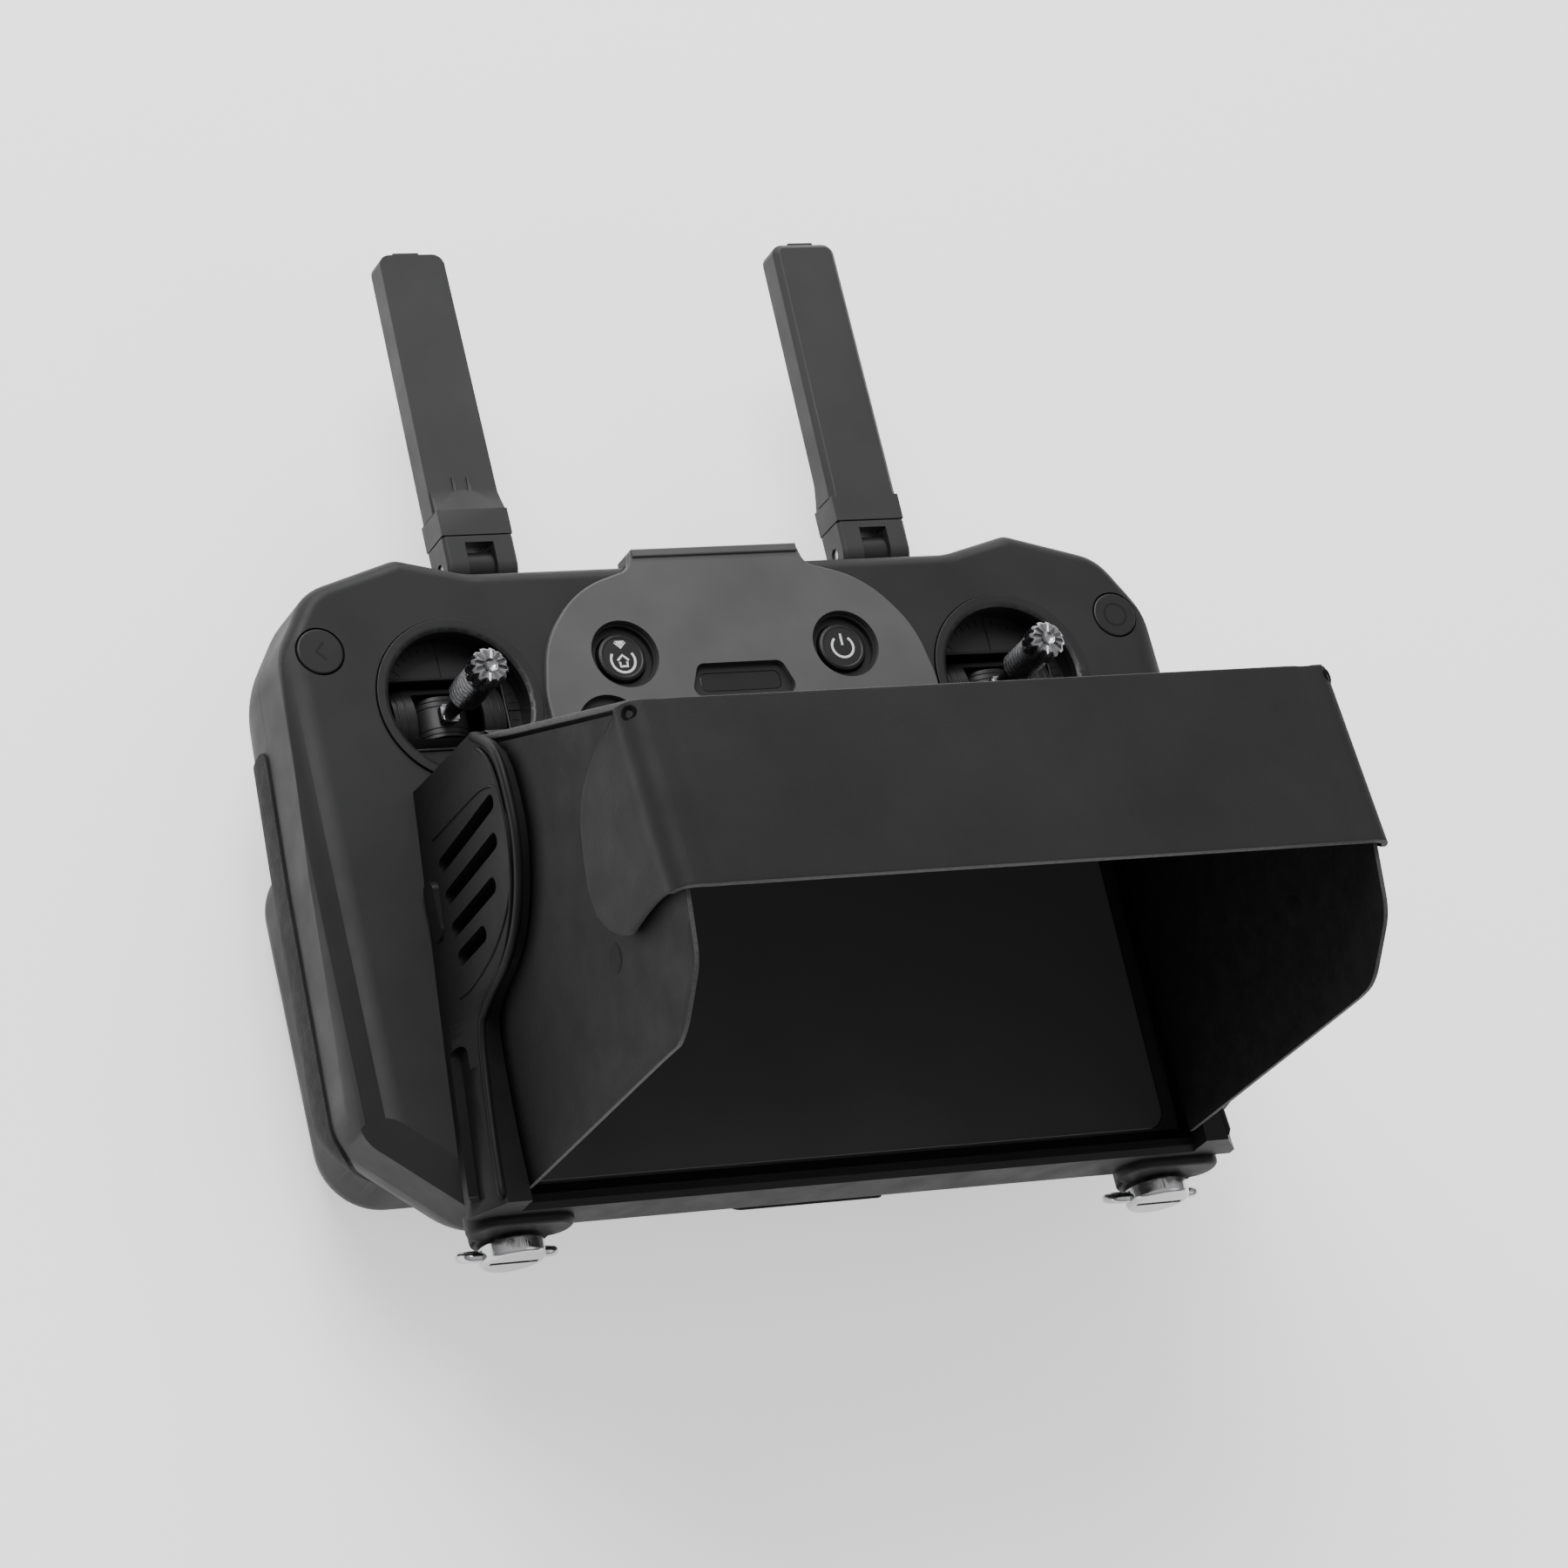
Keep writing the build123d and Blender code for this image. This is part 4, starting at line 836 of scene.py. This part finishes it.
def make_scale(side):
    """Short bars moulded round the dished plate, every sixth one longer."""
    points, faces = [], []
    for i in range(SCALE_MARKS):
        a = 2 * math.pi * i / SCALE_MARKS
        inner, outer, half = (16.4 if i % 6 else 14.9), 18.3, 0.14
        if abs(math.sin(a)) * inner < WINDOW_Y + 0.4 and abs(math.cos(a)) * inner < WINDOW_X + 0.3:
            continue
        way, across = Vector((math.cos(a), math.sin(a), 0)), Vector((-math.sin(a), math.cos(a), 0))
        base = len(points)
        for height in (-8.05, -7.85):
            for r, s in ((inner, -1), (outer, -1), (outer, 1), (inner, 1)):
                points.append(gimbal_centre(side, height) + (way * r + across * (s * half)) * MM)
        faces += [tuple(base + k for k in quad) for quad in BAR_FACES]
    place_piece("gimbal_scale_" + SIDES[side], mesh_from(points, faces, False), "controller",
                "gimbal_plastic")


def make_window_frame(side):
    """Fine bead round the window in the dished plate."""
    corners = [mm(x * WINDOW_X, y * WINDOW_Y, 0) for x, y in ((1, 1), (-1, 1), (-1, -1), (1, -1))]
    path = [gimbal_centre(side, PLATE_DEPTH) + a.lerp(b, t)
            for a, b in zip(corners, corners[1:] + corners[:1]) for t in (0.02, 0.5, 0.98)]
    place_piece("gimbal_window_" + SIDES[side], tube_mesh(path, 0.4 * MM, 8, True), "controller",
                "gimbal_plastic")


def make_ribs(side):
    """Ribs of the curved yoke, about its axis, and finer ones of the drum, about the other axis."""
    axis = gimbal_centre(side, AXIS_DEPTH)
    for i, x in enumerate((-13.2, -11.2, 11.2, 13.2)):
        arc = [axis + mm(x, YOKE_R * math.sin(t), YOKE_R * math.cos(t))
               for t in (math.radians(d) for d in range(-64, 65, 8))]
        place_piece("yoke_rib_" + SIDES[side] + "_" + str(i), tube_mesh(arc, 0.22 * MM, 8),
                    "gimbal_yoke_" + SIDES[side], "gimbal_plastic")
    for i, y in enumerate((-4.2, -2.8, 2.8, 4.2)):
        arc = [axis + mm(DRUM_R * math.sin(t), y, DRUM_R * math.cos(t))
               for t in (math.radians(d) for d in range(-80, 81, 8))]
        place_piece("drum_ridge_" + SIDES[side] + "_" + str(i), tube_mesh(arc, 0.2 * MM, 8),
                    "stick_" + SIDES[side], "gimbal_plastic")


# ------------------------------------------------------------------ marks on the keys
MARK_HEIGHT = 0.03            # the print stands this far above the key
# strokes and rims in millimetres from the middle of each key's top
HOUSE = [[(-1.5, -0.9), (0.0, 0.5), (1.5, -0.9)],
         [(-0.95, -1.3), (-0.95, -2.5), (0.95, -2.5), (0.95, -1.3)]]
ARROW = [[(-1.4, 4.0), (0.0, 2.5), (1.4, 4.0)], [(-1.3, 4.0), (1.3, 4.0)], [(-0.6, 3.4), (0.6, 3.4)]]
KEY_RIM = [(5.0, -0.05), (5.15, 0.1), (5.5, 0.16), (5.85, 0.08), (6.05, -0.25)]


def stroke_mesh(paths, centre, width, closed=False):
    """Flat strokes of even width lying on a key; paths are x, y in millimetres."""
    points, faces = [], []
    for path in paths:
        count = len(path)
        base = len(points)
        for i, (x, y) in enumerate(path):
            ahead = path[(i + 1) % count] if closed or i + 1 < count else path[i]
            behind = path[i - 1] if closed or i else path[i]
            way = Vector((ahead[0] - behind[0], ahead[1] - behind[1])).normalized()
            for s in (-1, 1):
                px, py = x - way.y * s * width / 2, y + way.x * s * width / 2
                points.append(centre + mm(px, py, MARK_HEIGHT))
                points.append(centre + mm(px, py, -0.05))
        for i in range(count if closed else count - 1):
            a, b = base + 4 * i, base + 4 * ((i + 1) % count)
            faces += [(a, b, b + 2, a + 2), (a + 1, b + 1, b, a), (a + 2, b + 2, b + 3, a + 3)]
    mesh = mesh_from(points, faces, False)
    fix = bmesh.new()
    fix.from_mesh(mesh)
    bmesh.ops.recalc_face_normals(fix, faces=fix.faces[:])
    if sum(face.normal.z * face.calc_area() for face in fix.faces) < 0:
        bmesh.ops.reverse_faces(fix, faces=fix.faces[:])
    fix.to_mesh(mesh)
    fix.free()
    return mesh


def arc_path(radius, start, end, steps=20):
    return [(radius * math.cos(math.radians(a)), radius * math.sin(math.radians(a)))
            for a in (start + (end - start) * i / steps for i in range(steps + 1))]


def key_top(node):
    low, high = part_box(node)
    return Vector(((low[0] + high[0]) / 2, (low[1] + high[1]) / 2, high[2]))


def make_key_marks():
    ring = [[(x, y - 0.9) for x, y in arc_path(3.2, 145, 395)]]
    power = [arc_path(2.9, -230, 50), [(0.0, 0.4), (0.0, 3.5)]]
    back = [[(1.1, 2.2), (-1.1, 0.0), (1.1, -2.2)]]
    confirm = [arc_path(3.0, 0, 346, 26)]
    # name, strokes, their width, whether they close, print
    for name, strokes, width, closed, paint in (("home", HOUSE + ring + ARROW, 0.62, False, PRINT_WHITE),
                                                ("power", power, 0.6, False, PRINT_WHITE),
                                                ("back", back, 0.7, False, INK_DARK),
                                                ("confirm", confirm, 0.6, True, INK_DARK)):
        key = name + "_key"
        place_piece(name + "_mark", stroke_mesh(strokes, key_top(key), width, closed), key,
                    "key_plastic", paint)
    for key in ("home_key", "power_key"):
        place_piece(key + "_rim", lathe_mesh(KEY_RIM, key_top(key), 48), key, "key_plastic")


def dress_cad():
    """Every CAD node takes the procedural material of its slot; the nodes listed in SOFT_EDGES also get rounded
    edges and smooth shading.
    """
    for name, piece in nodes.items():
        piece.data.materials.clear()
        piece.data.materials.append(MATERIALS[slot_of_node[name]])
    for name, width in SOFT_EDGES.items():
        soften(name, width)


make_camera()
make_studio()
dress_cad()
make_visor()
make_roof()
make_roof_tape()
for side in (LEFT, RIGHT):
    make_panel(side)
    make_collar_beads(side)
    make_relief(side)
    make_stick(side)
    make_scale(side)
    make_window_frame(side)
    make_ribs(side)
make_key_marks()
